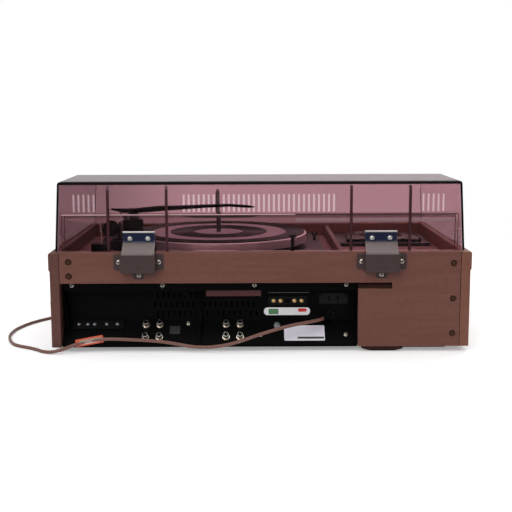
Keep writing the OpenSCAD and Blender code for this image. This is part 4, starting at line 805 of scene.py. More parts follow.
def twin_section(points=28):
    """Two round cores, one above the other: an oval whose sides dip in the middle."""
    up, side = circle(points).T
    up = CORD_D / 2 * up
    dip = 1 - DIP_DEEP * np.exp(-(up / DIP_WIDE) ** 2)
    return np.stack([-SECTION_FLAT * CORD_D * side * dip, up], -1) * MM


def strain_relief():
    """A tapered sleeve with three grooves, along the cord's first stretch."""
    along = np.linspace(0, 1, 43)
    start, end = np.array(free_run[0]), np.array(free_run[1])
    path = start + along[:, None] * (end - start)
    grooves = GROOVE_DEEP * np.exp(-((along[:, None] - np.array(GROOVES)) / GROOVE_WIDE) ** 2).sum(1)
    radius = SLEEVE_R - SLEEVE_TAPER * along - grooves
    radius[-1] = CORD_D / 2
    ferrule = lathe([(0, -4), (6.4, -4), (6.4, 0.9), (5.6, 1.6), (0, 1.6)], 40)
    sleeve = sweep(path * MM, circle(32) * MM, np.stack([radius, radius], -1))
    return joined(sleeve, on_rear(ferrule, EXIT[0], EXIT[2]))


def on_tag(shape):
    """Seats a shape on the tag, which hangs on the cord, dipped and turned a little."""
    level, fall = math.cos(TAG_DIP), math.sin(TAG_DIP)
    x, y = math.cos(TAG_TURN), math.sin(TAG_TURN)
    return seated(shape, TAG_AT, (-level * x, -level * y, fall), (fall * x, fall * y, level))


def plug_shape():
    """A moulded two-blade plug: a waisted grip with ribs, lofted along the cord's last direction."""
    along = np.array([0, 1, 8, 10, 13, 17, 21, 25, 28, 30.4, 31])
    half = np.array([3.2, 3.5, 4.4, 7.2, 9.8, 11, 10.6, 10.9, 11, 10.4, 9.6])
    tall = np.array([3.2, 3.5, 4.4, 5.6, 6.9, 7.7, 7.5, 7.8, 8.0, 7.6, 6.9])
    return lofted([round_rect(2 * w, 2 * h, min(w, h) * 0.7) for w, h in zip(half, tall)], along)


def blade(side):
    """A flat contact with rounded corners, on one side of the plug's middle."""
    points, faces = slab(round_rect(17, 6.4, 1.4), -BLADE_THICK, BLADE_THICK)
    return points[:, [0, 2, 1]] + (BLADE_OUT, side * BLADE_APART, 0), faces


cord = make_piece("mains_cord", sweep(cord_path, twin_section()), "cord_brown", sharp=60,
                  stands_for=("power_cord", "cord_coil"))
relief = make_piece("cord_strain_relief", strain_relief(), "socket_plastic", sharp=40,
                    stands_for=("cord_bushing",))
tag = make_piece("cord_tag_leaf", on_tag(plate(40, 11, 1.0, 1.6, 0.3)), "tag_paper", "label_orange",
                 stands_for=("cord_tag",))
label = moved(plate(31, 6.4, 0.25, 0.8), (1.5, 0, 0.95))
tag_label = make_piece("cord_tag_label", on_tag(label), "tag_paper")
printed = moved(plate(31, 0.9, 0.1, 0.3), (1.5, 2.5, 1.15))
tag_line = make_piece("cord_tag_line", on_tag(printed), "tag_paper", "label_green")
plug_seat = (coil_points[-1] * MM, plug_ahead, np.cross((0, 0, 1.0), plug_ahead))
plug_body = make_piece("plug_body", seated(plug_shape(), *plug_seat), "plug_brown", sharp=50,
                       stands_for=("power_plug",))
blades = make_piece("plug_blades", seated(joined(blade(-1), blade(1)), *plug_seat), "screw_nickel")


def coil_tie():
    """A band round the bundle of turns: a thin strap carried round a rounded rectangle."""
    loop = round_rect(20.5, 10.6, 3.6, 8)
    middle = COIL_R - COIL_STEP * 1.1
    points = np.column_stack([np.zeros(len(loop)), loop[:, 0] + middle, loop[:, 1] + TIE_UP])
    band = np.array([(-TIE_WIDE, 0.0), (TIE_WIDE, 0.0), (TIE_WIDE, TIE_THICK), (-TIE_WIDE, TIE_THICK)])
    off = points - (0, middle, TIE_UP)
    outward = off / np.linalg.norm(off, axis=1, keepdims=True)
    rings = points[:, None] + band[None, :, :1] * (1.0, 0, 0) + band[None, :, 1:] * outward[:, None]
    return skin(rings, loop=True)


tie = make_piece("coil_tie", on_deck(coil_tie(), COIL_MIDDLE[0] * MM, COIL_MIDDLE[1] * MM, 0), "foot_rubber")
print("cord pieces: cord, strain relief, tag, plug, tie")

# %% [markdown]
# ## The dust cover
# The cover is one moulded shell: a rear wall with rows of air slots and four ribs, a roof that falls
# to the front, and side walls that lean in. It is built as two grids, outer and inner, whose lines
# run along the slots' edges. Faces in the slots are left out, and every open edge is walled, so the
# shell is closed and has a true thickness, which glass needs.

# %% Dust cover: profile and columns
COVER_LOW, COVER_TOP = RIM_MM + 0.4, RIM_MM + 98.4
COVER_BACK, COVER_FRONT = REAR_MM - 14, FRONT / MM + 45
ROOF_END, FRONT_TOP = COVER_BACK - 156, RIM_MM + 72
HALF_LOW, DRAFT, WALL = 292.5, 5.6, 3.0
SLOT_GROUPS, SLOT_PITCH, SLOT_W = ((264, 5), (108, 31), (-232, 5)), 7.1, 2.8
SLOT_LOW, SLOT_HIGH = RIM_MM + 56, RIM_MM + 81
SEAT_TOP, SEAT_BEVEL, SEAT_HALF = RIM_MM + 53.8, 6.0, 282.3
# Depths under the seat's top: the painted highlight band, the painted shade band and the dark lines.
HIGHLIGHT_LOW, HIGHLIGHT_TOP, SHADE_BAND_LOW, LINE_LOW, LINE_TOP = SEAT_ROWS = (11.6, 7.2, 6.0, 2.2, 0.9)
EDGE_LINE, IN_FROM, IN_TO = SEAT_COLUMNS = (1, 4.1, 5.3)
RIBS, RIB_TOP = (215.5, 132.5, -129.5, -213.0), RIM_MM + 93.5
EDGE_BAND, FOOT_BAND, GLINT_END = 16.0, 12.5, -50.0


def filleted(corners, steps):
    """An open line through (y, z, radius) corners: each one becomes an arc that touches both edges."""
    c = np.array(corners, float)
    line = [c[:1, :2]]
    for before, here, after in zip(c[:-2], c[1:-1], c[2:]):
        to_a = (before - here)[:2] / np.linalg.norm((before - here)[:2])
        to_b = (after - here)[:2] / np.linalg.norm((after - here)[:2])
        half = math.acos(float(to_a @ to_b)) / 2
        middle = here[:2] + (to_a + to_b) / np.linalg.norm(to_a + to_b) * here[2] / math.sin(half)
        first, last = (here[:2] + d * here[2] / math.tan(half) - middle for d in (to_a, to_b))
        swing = math.pi - 2 * half
        t = np.linspace(0, 1, steps)[:, None]
        line.append(middle + (np.sin((1 - t) * swing) * first + np.sin(t * swing) * last) / math.sin(swing))
    return np.concatenate(line + [c[-1:, :2]])


def cover_profile(inset):
    """The side view as points from the rear wall's foot over the roof to the front wall's foot."""
    y_back, y_front, top = COVER_BACK - inset, COVER_FRONT + inset, COVER_TOP - inset
    seat = SEAT_TOP - np.array([*SEAT_ROWS, 0])
    heights = [*seat, SLOT_LOW, RIM_MM + 60, SLOT_HIGH, RIM_MM + 88, RIM_MM + 93.4]
    rear = np.array([(y_back, z) for z in heights])
    rounds = (3.6 - inset * 0.6, 14, 7 - inset)
    bend = filleted([(y_back, COVER_LOW, 0), (y_back, top, rounds[0]), (ROOF_END, top, rounds[1]),
                     (y_front, FRONT_TOP - inset * 1.15, rounds[2]), (y_front, COVER_LOW, 0)], 9)
    return np.concatenate([bend[:1], rear, bend[1:10], [(y_back - EDGE_BAND, top)], bend[10:-1],
                           [(y_front, COVER_LOW + FOOT_BAND)], bend[-1:]])


def cover_columns():
    """Where the grid's lines cross the cover: at each edge of a slot or a rib, and in between."""
    slots = [g - i * SLOT_PITCH + s * SLOT_W / 2 for g, n in SLOT_GROUPS for i in range(n) for s in (-1, 1)]
    ribs = [r + s for r in RIBS for s in (-2.0, -1.9, 1.9, 2.0)]
    seat = [side * (SEAT_HALF - off) for side in (-1, 1) for off in (0, *SEAT_COLUMNS)]
    return np.unique(np.round(slots + ribs + seat + [-170, 170, 3.05, GLINT_END], 3))


columns = cover_columns()
print("cover grid lines:", len(columns), "profile points:", len(cover_profile(0)))


# %% Dust cover: two grids and the walls between them
def half_width(z, inset):
    """Half the cover's width at a height: the side walls lean in."""
    return HALF_LOW - inset - DRAFT * (z - COVER_LOW) / (COVER_TOP + 1 - COVER_LOW)


def cover_sheet(inset, corner, arc=6, cap=5):
    """One sheet as a grid [column, profile]: across the cover, round each corner and down its side."""
    line = cover_profile(inset)
    inward = np.gradient(line, axis=0)
    inward = np.stack([-inward[:, 1], inward[:, 0]], -1)
    inward[[0, -1]] = [(-1, 0), (1, 0)]
    inward /= np.linalg.norm(inward, axis=1, keepdims=True)
    half = half_width(line[:, 1], inset)
    middle = np.stack([np.broadcast_to(columns[:, None], (len(columns), len(line))),
                       *(np.broadcast_to(line[:, k], (len(columns), len(line))) for k in (0, 1))], -1)
    bend = np.linspace(0, np.pi / 2, arc + 1)[:, None]
    drawn = line[None] + inward[None] * (corner * (1 - np.cos(bend)))[..., None]
    out = half[None] - corner + corner * np.sin(bend)
    side = np.concatenate([out[..., None], drawn], -1)
    foot_y = np.linspace(line[0, 0] - corner, line[-1, 0] + corner, len(line))
    down = np.linspace(0, 1, cap + 1)[1:, None]
    y = side[-1][None, :, 1] * (1 - down) + foot_y * down
    z = side[-1][None, :, 2] * (1 - down) + COVER_LOW * down
    side = np.concatenate([side, np.stack([half_width(z, inset), y, z], -1)])
    other = side[::-1] * np.array([-1, 1, 1.0])
    return np.concatenate([other, middle, side])


def cover_shape():
    """Outer and inner sheets, the ribs and the thicker foot pushed out, the slots left open."""
    outer = cover_sheet(0.0, 2.8)
    inner = cover_sheet(WALL, 1.4)
    x, y, z = outer[..., 0], outer[..., 1], outer[..., 2]
    rear = (np.abs(y - COVER_BACK) < 1e-6) & (np.abs(x) < HALF_LOW - 8)
    seat = np.clip(np.minimum(SEAT_TOP - z, SEAT_HALF - np.abs(x)) / SEAT_BEVEL, 0, 1)
    rib = np.any([np.abs(x - r) < 1.95 for r in RIBS], axis=0) * np.clip((RIB_TOP - z) / 6, 0, 1)
    outer[..., 1] += rear * np.maximum(seat, 3.4 * rib)
    rows, cols = outer.shape[:2]
    quads = grid(rows, cols)
    mid_x, mid_y, mid_z = outer.reshape(-1, 3)[quads].mean(1).T
    in_slot = np.zeros(len(quads), bool)
    for start, count in SLOT_GROUPS:
        number = (start - mid_x) / SLOT_PITCH
        near = np.abs(number - np.round(number)) * SLOT_PITCH < SLOT_W / 2
        in_slot |= near & (np.round(number) >= 0) & (np.round(number) < count)
    in_slot &= (mid_z > SLOT_LOW) & (mid_z < SLOT_HIGH) & (mid_y > COVER_BACK - 1)
    kept = quads[~in_slot]
    edges = np.concatenate([kept[:, [k, (k + 1) % 4]] for k in range(4)])
    key = np.sort(edges, 1)
    _, first, counts = np.unique(key, axis=0, return_index=True, return_counts=True)
    rim = edges[first[counts == 1]]
    size = rows * cols
    walls = np.column_stack([rim[:, 1], rim[:, 0], rim[:, 0] + size, rim[:, 1] + size])
    faces = np.concatenate([kept, kept[:, ::-1] + size, walls]).tolist()
    return np.concatenate([outer.reshape(-1, 3), inner.reshape(-1, 3)]) * MM, faces


cover = make_piece("dust_cover_shell", cover_shape(), "smoke_acrylic", body="cover", sharp=22,
                   stands_for=("dust_cover",))
print("dust cover:", len(cover.data.vertices), "points")


# %% Dust cover: painted shade and highlights where it is seen edge on
def face_middles(mesh):
    """The middle of each face, in millimetres, as three arrays."""
    at = np.zeros(len(mesh.polygons) * 3)
    mesh.polygons.foreach_get("center", at)
    return (at.reshape(-1, 3) / MM).T


def cover_lines(mesh):
    """Each face's finish: 0 clear, 1 dark corners, 2 ribs and lines, 3 pale and 4 deep bands, 5 a glint; 1, 2
    and 4 are painted shade, 3 and 5 painted highlights.
    """
    x, y, z = face_middles(mesh)
    half = half_width(z, 0)
    rear, front = y > COVER_BACK - 2.9, y < COVER_FRONT + 2.9
    # corners and the roof's rear strip: painted dark, as the sheet looks edge on
    upright = (np.abs(x) > half - 2.7) & (rear | front) & (z > COVER_LOW + 0.5)
    top = (z > COVER_TOP - 3.5) & (y > COVER_BACK - 3.6)
    top |= (z > COVER_TOP - 0.5) & (y > COVER_BACK - EDGE_BAND)
    outer = y > COVER_BACK - 0.5
    # ribs and the seat's lines: painted shade
    rib = outer & np.any([np.abs(x - r) < 2.05 for r in RIBS], axis=0) & (z < RIB_TOP)
    under = SEAT_TOP - z
    aside = SEAT_HALF - np.abs(x)
    level = (under > LINE_TOP) & (under < LINE_LOW) & (aside > 0)
    bright = outer & level & (x > GLINT_END)
    sides = ((aside > 0) & (aside < EDGE_LINE)) | ((aside > IN_FROM) & (aside < IN_TO))
    standing = sides & (under > LINE_LOW)
    # a darker band under the seat line and at the front wall's foot: painted shade
    deep = outer & (under > LINE_LOW) & (under < SHADE_BAND_LOW) & (aside > IN_TO)
    deep |= front & (z < COVER_LOW + FOOT_BAND)
    # a pale band low on the rear wall: painted highlight
    pale = outer & (under > HIGHLIGHT_TOP) & (under < HIGHLIGHT_LOW) & (aside > IN_TO) & (x < GLINT_END)
    kind = np.where(pale, 3, np.where(deep, 4, 0))
    kind = np.where(upright | top, 1, np.where(rib | (outer & (level | standing)), 2, kind))
    return np.where(bright & ~rib, 5, kind)


for extra in ("smoke_edge_on_shade", "smoke_line_shade", "smoke_painted_highlight", "smoke_painted_shade", "smoke_glint"):
    cover.data.materials.append(FINISHES[extra])
kinds = cover_lines(cover.data)
cover.data.polygons.foreach_set("material_index", kinds.astype(np.int32))
print("cover faces that look dark or pale:", int((kinds > 0).sum()))

# %% [markdown]
# ## Screws with a cross
# A pan head is a stack of rings whose height falls towards the rim and drops where the cross is
# pressed in. At the size of the picture a cross is less than a pixel wide, so its floor gets a
# dark plate that keeps it readable: painted shade in the recess.

# %% Screws
def screw(head_r, head_h, shank, steps=48):
    """A domed head with a cross pressed into it, and a shank below, about Z."""
    r = head_r * np.linspace(1, 0, 16)[:, None]
    a = np.linspace(0, 2 * np.pi, steps, endpoint=False)[None]
    x, y = r * np.cos(a), r * np.sin(a)
    arm = np.clip((0.8 - np.minimum(np.abs(x), np.abs(y))) / 0.35, 0, 1)
    cross = arm * np.clip((0.64 * head_r - r) / 0.5, 0, 1)
    z = head_h * (1 - (r / head_r) ** 3) - 0.8 * cross
    below = [np.stack([b * np.cos(a[0]), b * np.sin(a[0]), np.full(steps, h)], -1)
             for b, h in ((0, -shank), (1.6, -shank), (1.6, 0))]
    rings = np.concatenate([below, np.stack([x, y, np.broadcast_to(z, x.shape)], -1)])
    return rings.reshape(-1, 3), grid(len(rings), steps, False, True).tolist()


def cross_plate(head_r, height):
    """A thin dark plus for the floor of a cross: painted shade in its recess."""
    a, b = 0.62, 0.58 * head_r
    corner = [(b, -a), (b, a), (a, a)]
    plus = np.array([(x * c - y * s, x * s + y * c) for c, s in QUARTERS for x, y in corner])
    return slab(plus, height, height + 0.3)


BOARD_SCREWS = [*[(IN_X - 13.5, h) for h in (123.5, 103)], *[(10 - IN_X, h) for h in (120, 69, 18.5)]]
HINGE_SCREWS = [(side * HINGE_X + x, RIM_MM - down)
                for side in (-1, 1) for x, down in ((-28.5, 13.5), (28.5, 13.5), (0, 32))]
FLANGE_SCREWS = [IN_X - 14.8, IN_X - 145.1, IN_X - 276.9, -123.8]
SLOPE_SCREWS = [(IN_X - 180.4, 28), (IN_X - 285, 14), (-124, 14)]
HINGE_HEAD, FLANGE_HEAD, SLOPE_HEAD, WOOD_HEAD = (3.6, 1.8, 12), (3.9, 2.2, 6), (3.6, 2.0, 6), (3.9, 2.2, 16)


def all_screws(make):
    """Seats what make(head_r, head_h, shank) gives at every bright screw."""
    seats = [on_rear(make(*HINGE_HEAD), x, z, REAR + 1.6 * MM) for x, z in HINGE_SCREWS]
    seats += [on_rear(make(*FLANGE_HEAD), x, RIM_MM - 49, REAR - 12 * MM) for x in FLANGE_SCREWS]
    return joined(*seats, *[on_slope(make(*SLOPE_HEAD), x, h) for x, h in SLOPE_SCREWS])


make_piece("bright_screws", all_screws(screw), "screw_nickel", sharp=40, stands_for=("case_screws",))
# The crosses' dark plates are painted shade in the recesses.
make_piece("bright_screw_crosses", all_screws(lambda r, h, _: cross_plate(r, h - 0.75)), "screw_nickel",
           "dark_print_and_shade")
# Painted shade: the wood screws' heads are coloured dark, standing for the shade of the sunk holes they sit
# in.
wood_screws = [on_rear(screw(*WOOD_HEAD), x, LOW_MM + h, REAR - 3 * MM) for x, h in BOARD_SCREWS]
make_piece("wood_screws", joined(*wood_screws), "screw_nickel", "brass_in_painted_shade", sharp=40)
rivet = lathe([(0, -2.6), (2.3, -2.6), (2.3, -0.9), (1.7, -0.3), (0, -0.05)], 40)
rivets = [on_rear(rivet, x, RIM_MM - 20, REAR + 15 * MM) for x in (-HINGE_X, HINGE_X)]
make_piece("hinge_rivets", joined(*rivets), "hinge_brown", sharp=40)
bright_count = len(HINGE_SCREWS) + len(FLANGE_SCREWS) + len(SLOPE_SCREWS)
print("screws:", bright_count, "bright,", len(BOARD_SCREWS), "wood")

# %% Seams, the saw's run-out in painted shade, and the rear foot with its painted shadow
seams = [on_rear(slab(round_rect(0.9, 136, 0.3), -0.6, 0.12), side * IN_X, 76.5, REAR) for side in (-1, 1)]
make_piece("case_seams", joined(*seams), "walnut_vinyl", "wood_shadow")
# The saw's run-out is a wedge in the slot's end in the wood_shadow finish: painted shade under the hinge,
# over the wood there.
CUT_BACK = REAR_MM - 11.9
CUT_SECTION = ((0, 92.1), (1, 92.1), (0.7, 96), (0.3, 100.9), (0, 100.9))
CUT_FILLS = ((-187.9, 11.6), (-180, 11.2), (-165, 9.5), (-150, 6.5), (-140.2, 4.0))
points, faces = skin([[(x, CUT_BACK + deep * part, z) for part, z in CUT_SECTION] for x, deep in CUT_FILLS])
make_piece("saw_run_out_in_shade", (points * MM, faces), "walnut_vinyl", "wood_shadow")
# The rear foot is a dark pad; the thin tail beside it stands for no part but is a painted shadow on the
# floor.
foot = skin(stacked([round_rect(44, 20, 8), round_rect(60, 30, 9), round_rect(60, 30, 9)], [0.1, 3.4, 7.9]))
painted_shadow_tail = moved(skin(stacked([round_rect(66, 14, 5), round_rect(74, 22, 6)], [5.2, 7.9])), (-58, 3, 0))
FOOT_AT = (-0.176, REAR - 16.5 * MM, 0)
make_piece("rear_foot_and_painted_shadow", on_deck(joined(foot, painted_shadow_tail), *FOOT_AT), "foot_rubber", "wood_shadow", sharp=50)
print("seams, run-out and foot")

# %% [markdown]
# ## Sockets and labels
# Each phono socket has a black ring between its sleeve and its middle. The labels are thin plates
# with round corners; the printing on them is left out, and only plain blocks of colour remain.

# %% Sockets and labels
insulator = lathe([(1.6, 3), (3.25, 3), (3.25, 8.2), (1.6, 8.2)], 40, loop=True)
sockets = [(IN_X - x, h) for x in (119, 139, 235.5, 255.7) for h in (26, 11)]
insulators = [on_slope(insulator, x, h) for x, h in sockets]
make_piece("phono_insulators", joined(*insulators), "socket_plastic", sharp=40)
ground = [(0, -5), (1.6, -5), (1.6, 0.2), (5, 0.2), *grooved(5, 0.35, 0.8, 0.45, 8), (4.2, 4.6), (1.8, 4.8),
          (1.8, 7.5), (0, 7.8)]
make_piece("ground_post", on_slope(lathe(ground, 40), -24.3, 24.6), "screw_nickel", "pot_steel", sharp=30)
LABELS = [("label_strip", "label_dull_red", on_rear, 38.7, 79.65, 80.2, 8.5, 1.0, 0.0),
          ("label_seam", "label_grey", on_rear, -41.5, 80.5, 59.8, 0.9, 0.4, 0.0),
          ("label_sticker", "label_white", on_rear, -39.35, 52.6, 67.3, 11.4, 5, 0.0),
          ("label_sticker_green", "label_green", on_rear, -19.6, 52.4, 14.2, 8, 1, 0.22),
          ("label_sticker_red", "label_red", on_rear, -61.65, 54.4, 12.5, 5, 2, 0.22),
          ("label_rating", "label_lilac", on_slope, -64, 15.75, 58.6, 25.9, 1.5, 0.0),
          ("label_rating_bar", "dark_print_and_shade", on_slope, -73, 10.0, 38, 3.2, 0.5, 0.22),
          ("label_faint", "label_faint", on_slope, 123.9, 19.95, 15.2, 13.7, 1.5, 0.0)]
for name, tone, seat, x, up, w, h, r, lift in LABELS:
    thin = moved(plate(w, h, 0.25, r, 0.05), (0, 0, lift))
    make_piece(name, seat(thin, x, up), "tag_paper", tone)
print("labels:", len(LABELS), "insulators:", len(sockets))

# %% [markdown]
# ## The turntable and its arms
# The mat's raised rings carry fine ribs. The tonearm's tube tapers towards the head, and its
# counterweight is grooved. The steadying arm's blade is a rounded bar lofted along its own curve.

# %% Turntable and arms
MAT_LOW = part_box("platter_mat")[0].z
MAT_STEP, RIB_PITCH = 0.3, 2.1


def mat_profile():
    """The mat's section: lower smooth rings, and raised rings with ribs."""
    first, end, last = MAT_RINGS
    r = np.arange(6.0, 137.1, MAT_STEP)
    raised = ((r > first) & (r < end)) | (r > last)
    h = np.where(raised, 2.5 - 0.5 * (0.5 - 0.5 * np.cos(2 * np.pi * (r - first) / RIB_PITCH)), 1.5)
    return [(6.0, 0.0), *zip(r, h), (137.1, 2.4), (137.1, 0.0)]


mat = lathe(mat_profile(), 144, loop=True)
make_piece("ribbed_mat", on_deck(mat, *PLATTER, MAT_LOW), "mat_rubber", body="turntable", sharp=60,
           stands_for=("platter_mat",))

ARM = (0.219, REAR - 96 * MM, RIM + 27 * MM)
ARM_LEN = 195.0


def arm_tube():
    """A tube that tapers from the pivot to the head, with its pivot pin."""
    y = np.linspace(30, 34 - ARM_LEN, 28)
    wide = np.interp(y, [34 - ARM_LEN, 8, 30], [3.2, 4.5, 4.5])
    cos, sin = circle(24).T
    rings = [np.column_stack([w * cos, np.full(24, v), 4 * sin]) for v, w in zip(y, wide)]
    pin = lathe([(0, -10), (1.5, -10), (1.5, 10), (0, 10)], 24)
    return joined(skin(rings), laid(pin, (2, 0, 1)))


def arm_head():
    """The head shell with its finger lift, the cartridge and the counterweight."""
    top = [(-7, 36), (-9, 8), (-7, -8), (7, -8), (9, 8), (7, 36)]
    shell = np.array([(x, y - ARM_LEN) for x, y in top], float)
    small = shell * np.array([0.86, 1])
    parts = [skin(stacked([shell, shell, small], [-1, 3.6, 5]))]
    parts += [moved(plate(10, 20, 11, 1.0, 0.6), (0, 8 - ARM_LEN, -9))]
    stylus = lathe([(0, -11.5), (0.35, -11.3), (0.6, -9), (0.6, -7.5), (0, -7.5)], 16)
    lift = lathe([(0, 7), (1.2, 7), (1.2, 17.2), (0.6, 18), (0, 18)], 16)
    parts += [moved(stylus, (0, 1 - ARM_LEN, 0)), moved(laid(lift, (2, 0, 1)), (0, 4 - ARM_LEN, -1))]
    ridges = grooved(11, 0.7, 27, 1, 14)
    weight = lathe([(0, 24), (8.5, 24), (11, 25.5), *ridges, (11, 44.5), (9.5, 46), (0, 46)], 48)
    return joined(*parts, laid(weight, (1, 2, 0)))


make_piece("tonearm_tube", on_deck(arm_tube(), *ARM), "arm_silver", body="arm", sharp=40,
           stands_for=("tonearm",))
make_piece("tonearm_head", on_deck(arm_head(), *ARM), "arm_black", body="arm", sharp=40)

POST = (0.187, REAR - 80 * MM)
BLADE_LOW = ([-34, -20, 0, 24, 123, 172, 195, 211, 219.5], [54, 50.2, 47, 47.8, 47.7, 46.5, 43.7, 42.1, 42.4])
BLADE_TOP = ([-34, -20, 0, 24, 46, 82, 123, 172, 195, 211, 219.5],
             [56.7, 55.8, 54.5, 55.2, 55.7, 53.9, 52.6, 50.8, 48.3, 46.5, 44.2])


def overarm_shape():
    """The shaft, a rounded hub, a knob with a grooved edge, and the long blade."""
    along = np.linspace(-34, 219.5, 70)
    low, top = np.interp(along, *BLADE_LOW), np.interp(along, *BLADE_TOP)
    sections = [round_rect(12, t - b, (t - b) * 0.42) + (0, (t + b) / 2) for b, t in zip(low, top)]
    hub = [round_rect(24, 20, 4), round_rect(24, 20, 4), round_rect(22.4, 18.4, 3.4)]
    knob = [(0, 36), (7, 36), (7, 48), *grooved(7, 0.5, 48.5, 0.5, 10), (6.4, 54.6), (0, 55.3)]
    shaft = lathe([(0, -12), (4, -12), (4, 20.3), (0, 20.3)], 32)
    return joined(lofted(sections, along), skin(stacked(hub, [20.3, 37.2, 38.3])), lathe(knob, 40), shaft)


swing = math.radians(216.5)
along_blade = (math.cos(swing), math.sin(swing), 0)
blade_seat = ((*POST, RIM), along_blade, (-math.sin(swing), math.cos(swing), 0))
make_piece("overarm_blade", seated(overarm_shape(), *blade_seat), "arm_black", body="steady_arm", sharp=40,
           stands_for=("overarm",))


def wire(points, radius):
    """A thin round wire through points in millimetres."""
    return sweep(smooth(points, 10) * MM, circle(12) * MM, radius)


clip = [(229.5, 153, 130), (229.5, 153, 152), (229.4, 152, 163), (230.4, 151, 174), (231.8, 150, 182),
        (234.6, 150, 186), (232.4, 150, 190), (233.2, 149.5, 193), (233.9, 149.5, 197)]
make_piece("arm_clip_wire", wire(clip, 0.8), "screw_nickel", sharp=60)
brass = [(213, 149, 130), (213, 149, 150), (209, 148.5, 158), (206, 148, 163.4)]
make_piece("arm_brass_wire", wire(brass, 0.7), "screw_brass", sharp=60)
stem = lathe([(0, 130), (1.6, 130), (1.6, 155.4), (3.4, 156), (4, 158), (4, 160.5), (3, 162.6), (0, 163)], 32)
make_piece("arm_height_knob", on_deck(stem, 0.2185, 0.150, 0), "arm_black", "knob_brown", sharp=40)
print("mat, tonearm, steadying arm and the small wires beside them")

# %% [markdown]
# ## The control panel in front
# The picture shows the back, but a viewer may walk round. The dial gets ticks and plain numbers, the
# knobs get index lines and marks round them, and the grooves and the lid's window are filled.

# %% Control panel details
def numeral(text, size, depth=0.15):
    """Text as a closed mesh about its middle: (points, faces), in millimetres."""
    data = bpy.data.curves.new("numeral", "FONT")
    data.body, data.size, data.extrude = text, size, depth / 2
    data.align_x, data.align_y, data.resolution_u = "CENTER", "CENTER", 3
    holder = add_object("numeral", data)
    bpy.context.view_layer.update()
    mesh = bpy.data.meshes.new_from_object(holder.evaluated_get(bpy.context.evaluated_depsgraph_get()))
    points = np.array([v.co for v in mesh.vertices]) + (0, 0, depth / 2)
    faces = [list(f.vertices) for f in mesh.polygons]
    bpy.data.objects.remove(holder)
    bpy.data.curves.remove(data)
    bpy.data.meshes.remove(mesh)
    return points, faces


def bar(w, h, t=0.15):
    """A small upright bar about its middle."""
    return slab(np.array([(-w, -h), (w, -h), (w, h), (-w, h)]) / 2, 0, t)


def turned_by(shape, degrees):
    """A shape turned about its own Z."""
    c, s = math.cos(math.radians(degrees)), math.sin(math.radians(degrees))
    return shape[0] @ np.array([[c, s, 0], [-s, c, 0], [0, 0, 1.0]]), shape[1]


DIAL_X, DIAL_LEFT, DIAL_UP, SCALE_OUT = 40, -30, 79, -7.6
BUTTONS_X = (-240, -200, -170, -140)
ROWS = (("88 92 96 100 104 108", 8.0, 2.6), ("55 70 90 110 140 160", -9.5, -3.6))
dial = []
for numbers, up, tick_up in ROWS:
    for i, number in enumerate(numbers.split()):
        dial.append(on_fascia(numeral(number, 5.4), DIAL_LEFT + 28 * i, DIAL_UP + up, SCALE_OUT))
    for i in range(29):
        tick = bar(0.4, 3.4 if i % 4 == 0 else 1.8)
        dial.append(on_fascia(tick, DIAL_LEFT + 5 * i, DIAL_UP + tick_up, SCALE_OUT))
dial.append(on_fascia(bar(152, 0.3), DIAL_X, DIAL_UP - 0.5, SCALE_OUT))
make_piece("dial_print", joined(*dial), "scale_black", "print_ivory")
lens = lathe([(0, 0), (1.6, 0), (1.5, 0.7), (0.9, 1.1), (0, 1.2)], 32)
make_piece("stereo_lamp", on_fascia(lens, DIAL_X + 84, DIAL_UP + 8, SCALE_OUT), "scale_black", "lamp_red",
           sharp=40)
SMALL_KNOBS, TUNING = ("volume", "balance", "bass", "treble"), ("tuning", 215, 56, 24, 16)
KNOBS = [*[(body, -30 + 50 * i, 30, 11, 14) for i, body in enumerate(SMALL_KNOBS)], TUNING]
marks = []
for body, x, up, r, h in KNOBS:
    index = moved(bar(0.9, 4.6, 0.4), (0, r - 5.5, h - 0.55))
    make_piece(body + "_index", on_fascia(index, x, up), "knob_silver", "dark_print_and_shade", body)
    if body != "tuning":
        tick = moved(bar(0.5, 2.0, 0.12), (0, r + 3.2, 0))
        marks += [on_fascia(turned_by(tick, 135 - 27 * i), x, up) for i in range(11)]
marks += [on_fascia(bar(6, 0.6, 0.12), x, 40) for x in BUTTONS_X]
marks.append(on_fascia(lathe([(5.6, 0), (6.2, 0), (6.2, 0.12), (5.6, 0.12)], 40, loop=True), -92, 30))
make_piece("panel_marks", joined(*marks), "fascia_silver", "dark_print_and_shade")
inlays = [on_fascia(bar(2 * IN_X - 1, 0.9, 0.42), 0, up, -0.58) for up in (14, 50)]
make_piece("panel_inlays", joined(*inlays), "fascia_silver", "dark_print_and_shade")
lid_low, lid_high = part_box("cassette_lid")
lid_back = lid_high.y - 2.7 * MM
lid_deep = lid_back - lid_low.y + 0.5 * MM
pane_at = ((lid_low.x + lid_high.x) / 2, lid_back - lid_deep / 2 - 4 * MM, lid_low.z + 2 * MM)
make_piece("lid_pane", on_deck(plate(69.6, 23.6, 1.6, 2.8, 0.3), *pane_at), "dial_clear", body="lid")
SYMBOLS = {"play": [(-1.8, -2.2), (2.4, 0), (-1.8, 2.2)],
           "stop": [(-1.9, -1.9), (1.9, -1.9), (1.9, 1.9), (-1.9, 1.9)]}
for body, outline in SYMBOLS.items():
    low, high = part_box("key_" + body)
    middle = ((low.x + high.x) / 2, (low.y + high.y) / 2 + 2.5 * MM, high.z - 1 * MM)
    make_piece(body + "_symbol", on_deck(slab(outline, 0, 0.2), *middle), "key_silver", "dark_print_and_shade", body)
print("dial numbers:", sum(len(row[0].split()) for row in ROWS), "knobs:", len(KNOBS), "marks:", len(marks))

# %% [markdown]
# ## Light, floor and background
# Three large soft lamps and a pale world light the object evenly. The floor and the background are
# white for the eye and through glass, while the world itself gives less light to the object.


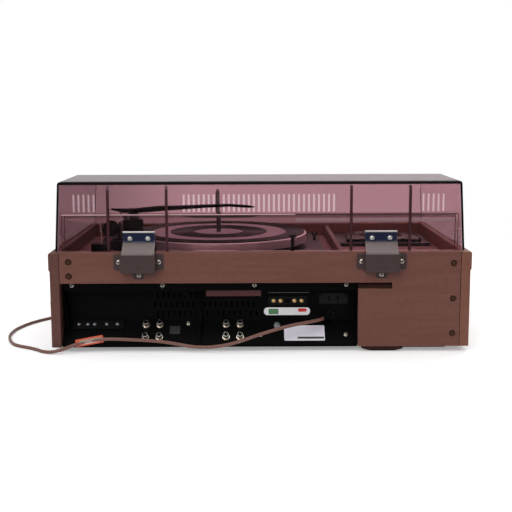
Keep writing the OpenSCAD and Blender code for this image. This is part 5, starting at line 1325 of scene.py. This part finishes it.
# %% Light and floor
def seen_by_eye(tree):
    """1 for what the eye sees, straight or through clear plastic."""
    rays = node(tree, "LightPath").outputs
    return Value(rays["Is Camera Ray"]).maths("MAXIMUM", rays["Is Transmission Ray"])


def make_world(light=0.42, gloss=0.45):
    """A white background for the eye and through glass, and a softer one as a light."""
    world = bpy.data.worlds.new("world")
    world.use_nodes = True
    tree = world.node_tree
    shiny = Value(node(tree, "LightPath").outputs["Is Glossy Ray"]) * (gloss - light)
    strength = seen_by_eye(tree) * (1.0 - light) + light + shiny
    fill(tree.nodes["Background"], Color=(1, 1, 1, 1), Strength=strength)
    bpy.context.scene.world = world


def area_lamp(name, at, size, power, target=(0, 0, 0.1)):
    """A square lamp that looks at a point."""
    data = bpy.data.lights.new(name, "AREA")
    data.size = size
    data.energy = power
    turn = (Vector(target) - Vector(at)).to_track_quat("-Z", "Y")
    add_object(name, data).matrix_world = Matrix.Translation(at) @ turn.to_matrix().to_4x4()


def make_floor(size=12.0, glow=0.30, near=0.6, far=1.15):
    """A pale floor that keeps the shadow near the object; far from it, it is the white background."""
    mesh = bpy.data.meshes.new("floor")
    corners = [(-size, -size, 0), (size, -size, 0), (size, size, 0), (-size, size, 0)]
    mesh.from_pydata(corners, [], [[0, 1, 2, 3]])
    tree, shader = new_material("floor")
    fade = map_range(tree, vector_maths(tree, "LENGTH", place(tree)), near, far)
    fill(shader, Base_Color=blend_colours(tree, fade, (0.92, 0.92, 0.92, 1), (0, 0, 0, 1)), Roughness=0.9,
         Specular_IOR_Level=0.0, Emission_Color=(1, 1, 1, 1),
         Emission_Strength=seen_by_eye(tree) * (fade * (1.0 - glow) + glow))
    mesh.materials.append(FINISHES["floor"])
    add_object("floor", mesh)


make_world()
make_floor()
area_lamp("lamp_behind_camera", (1.1, 2.6, 2.2), 2.4, 52)
area_lamp("lamp_front", (-1.4, -2.4, 2.4), 2.4, 46)
area_lamp("lamp_above", (0, 0.1, 3.2), 2.0, 26)
print("three soft lamps, a white world and a floor")
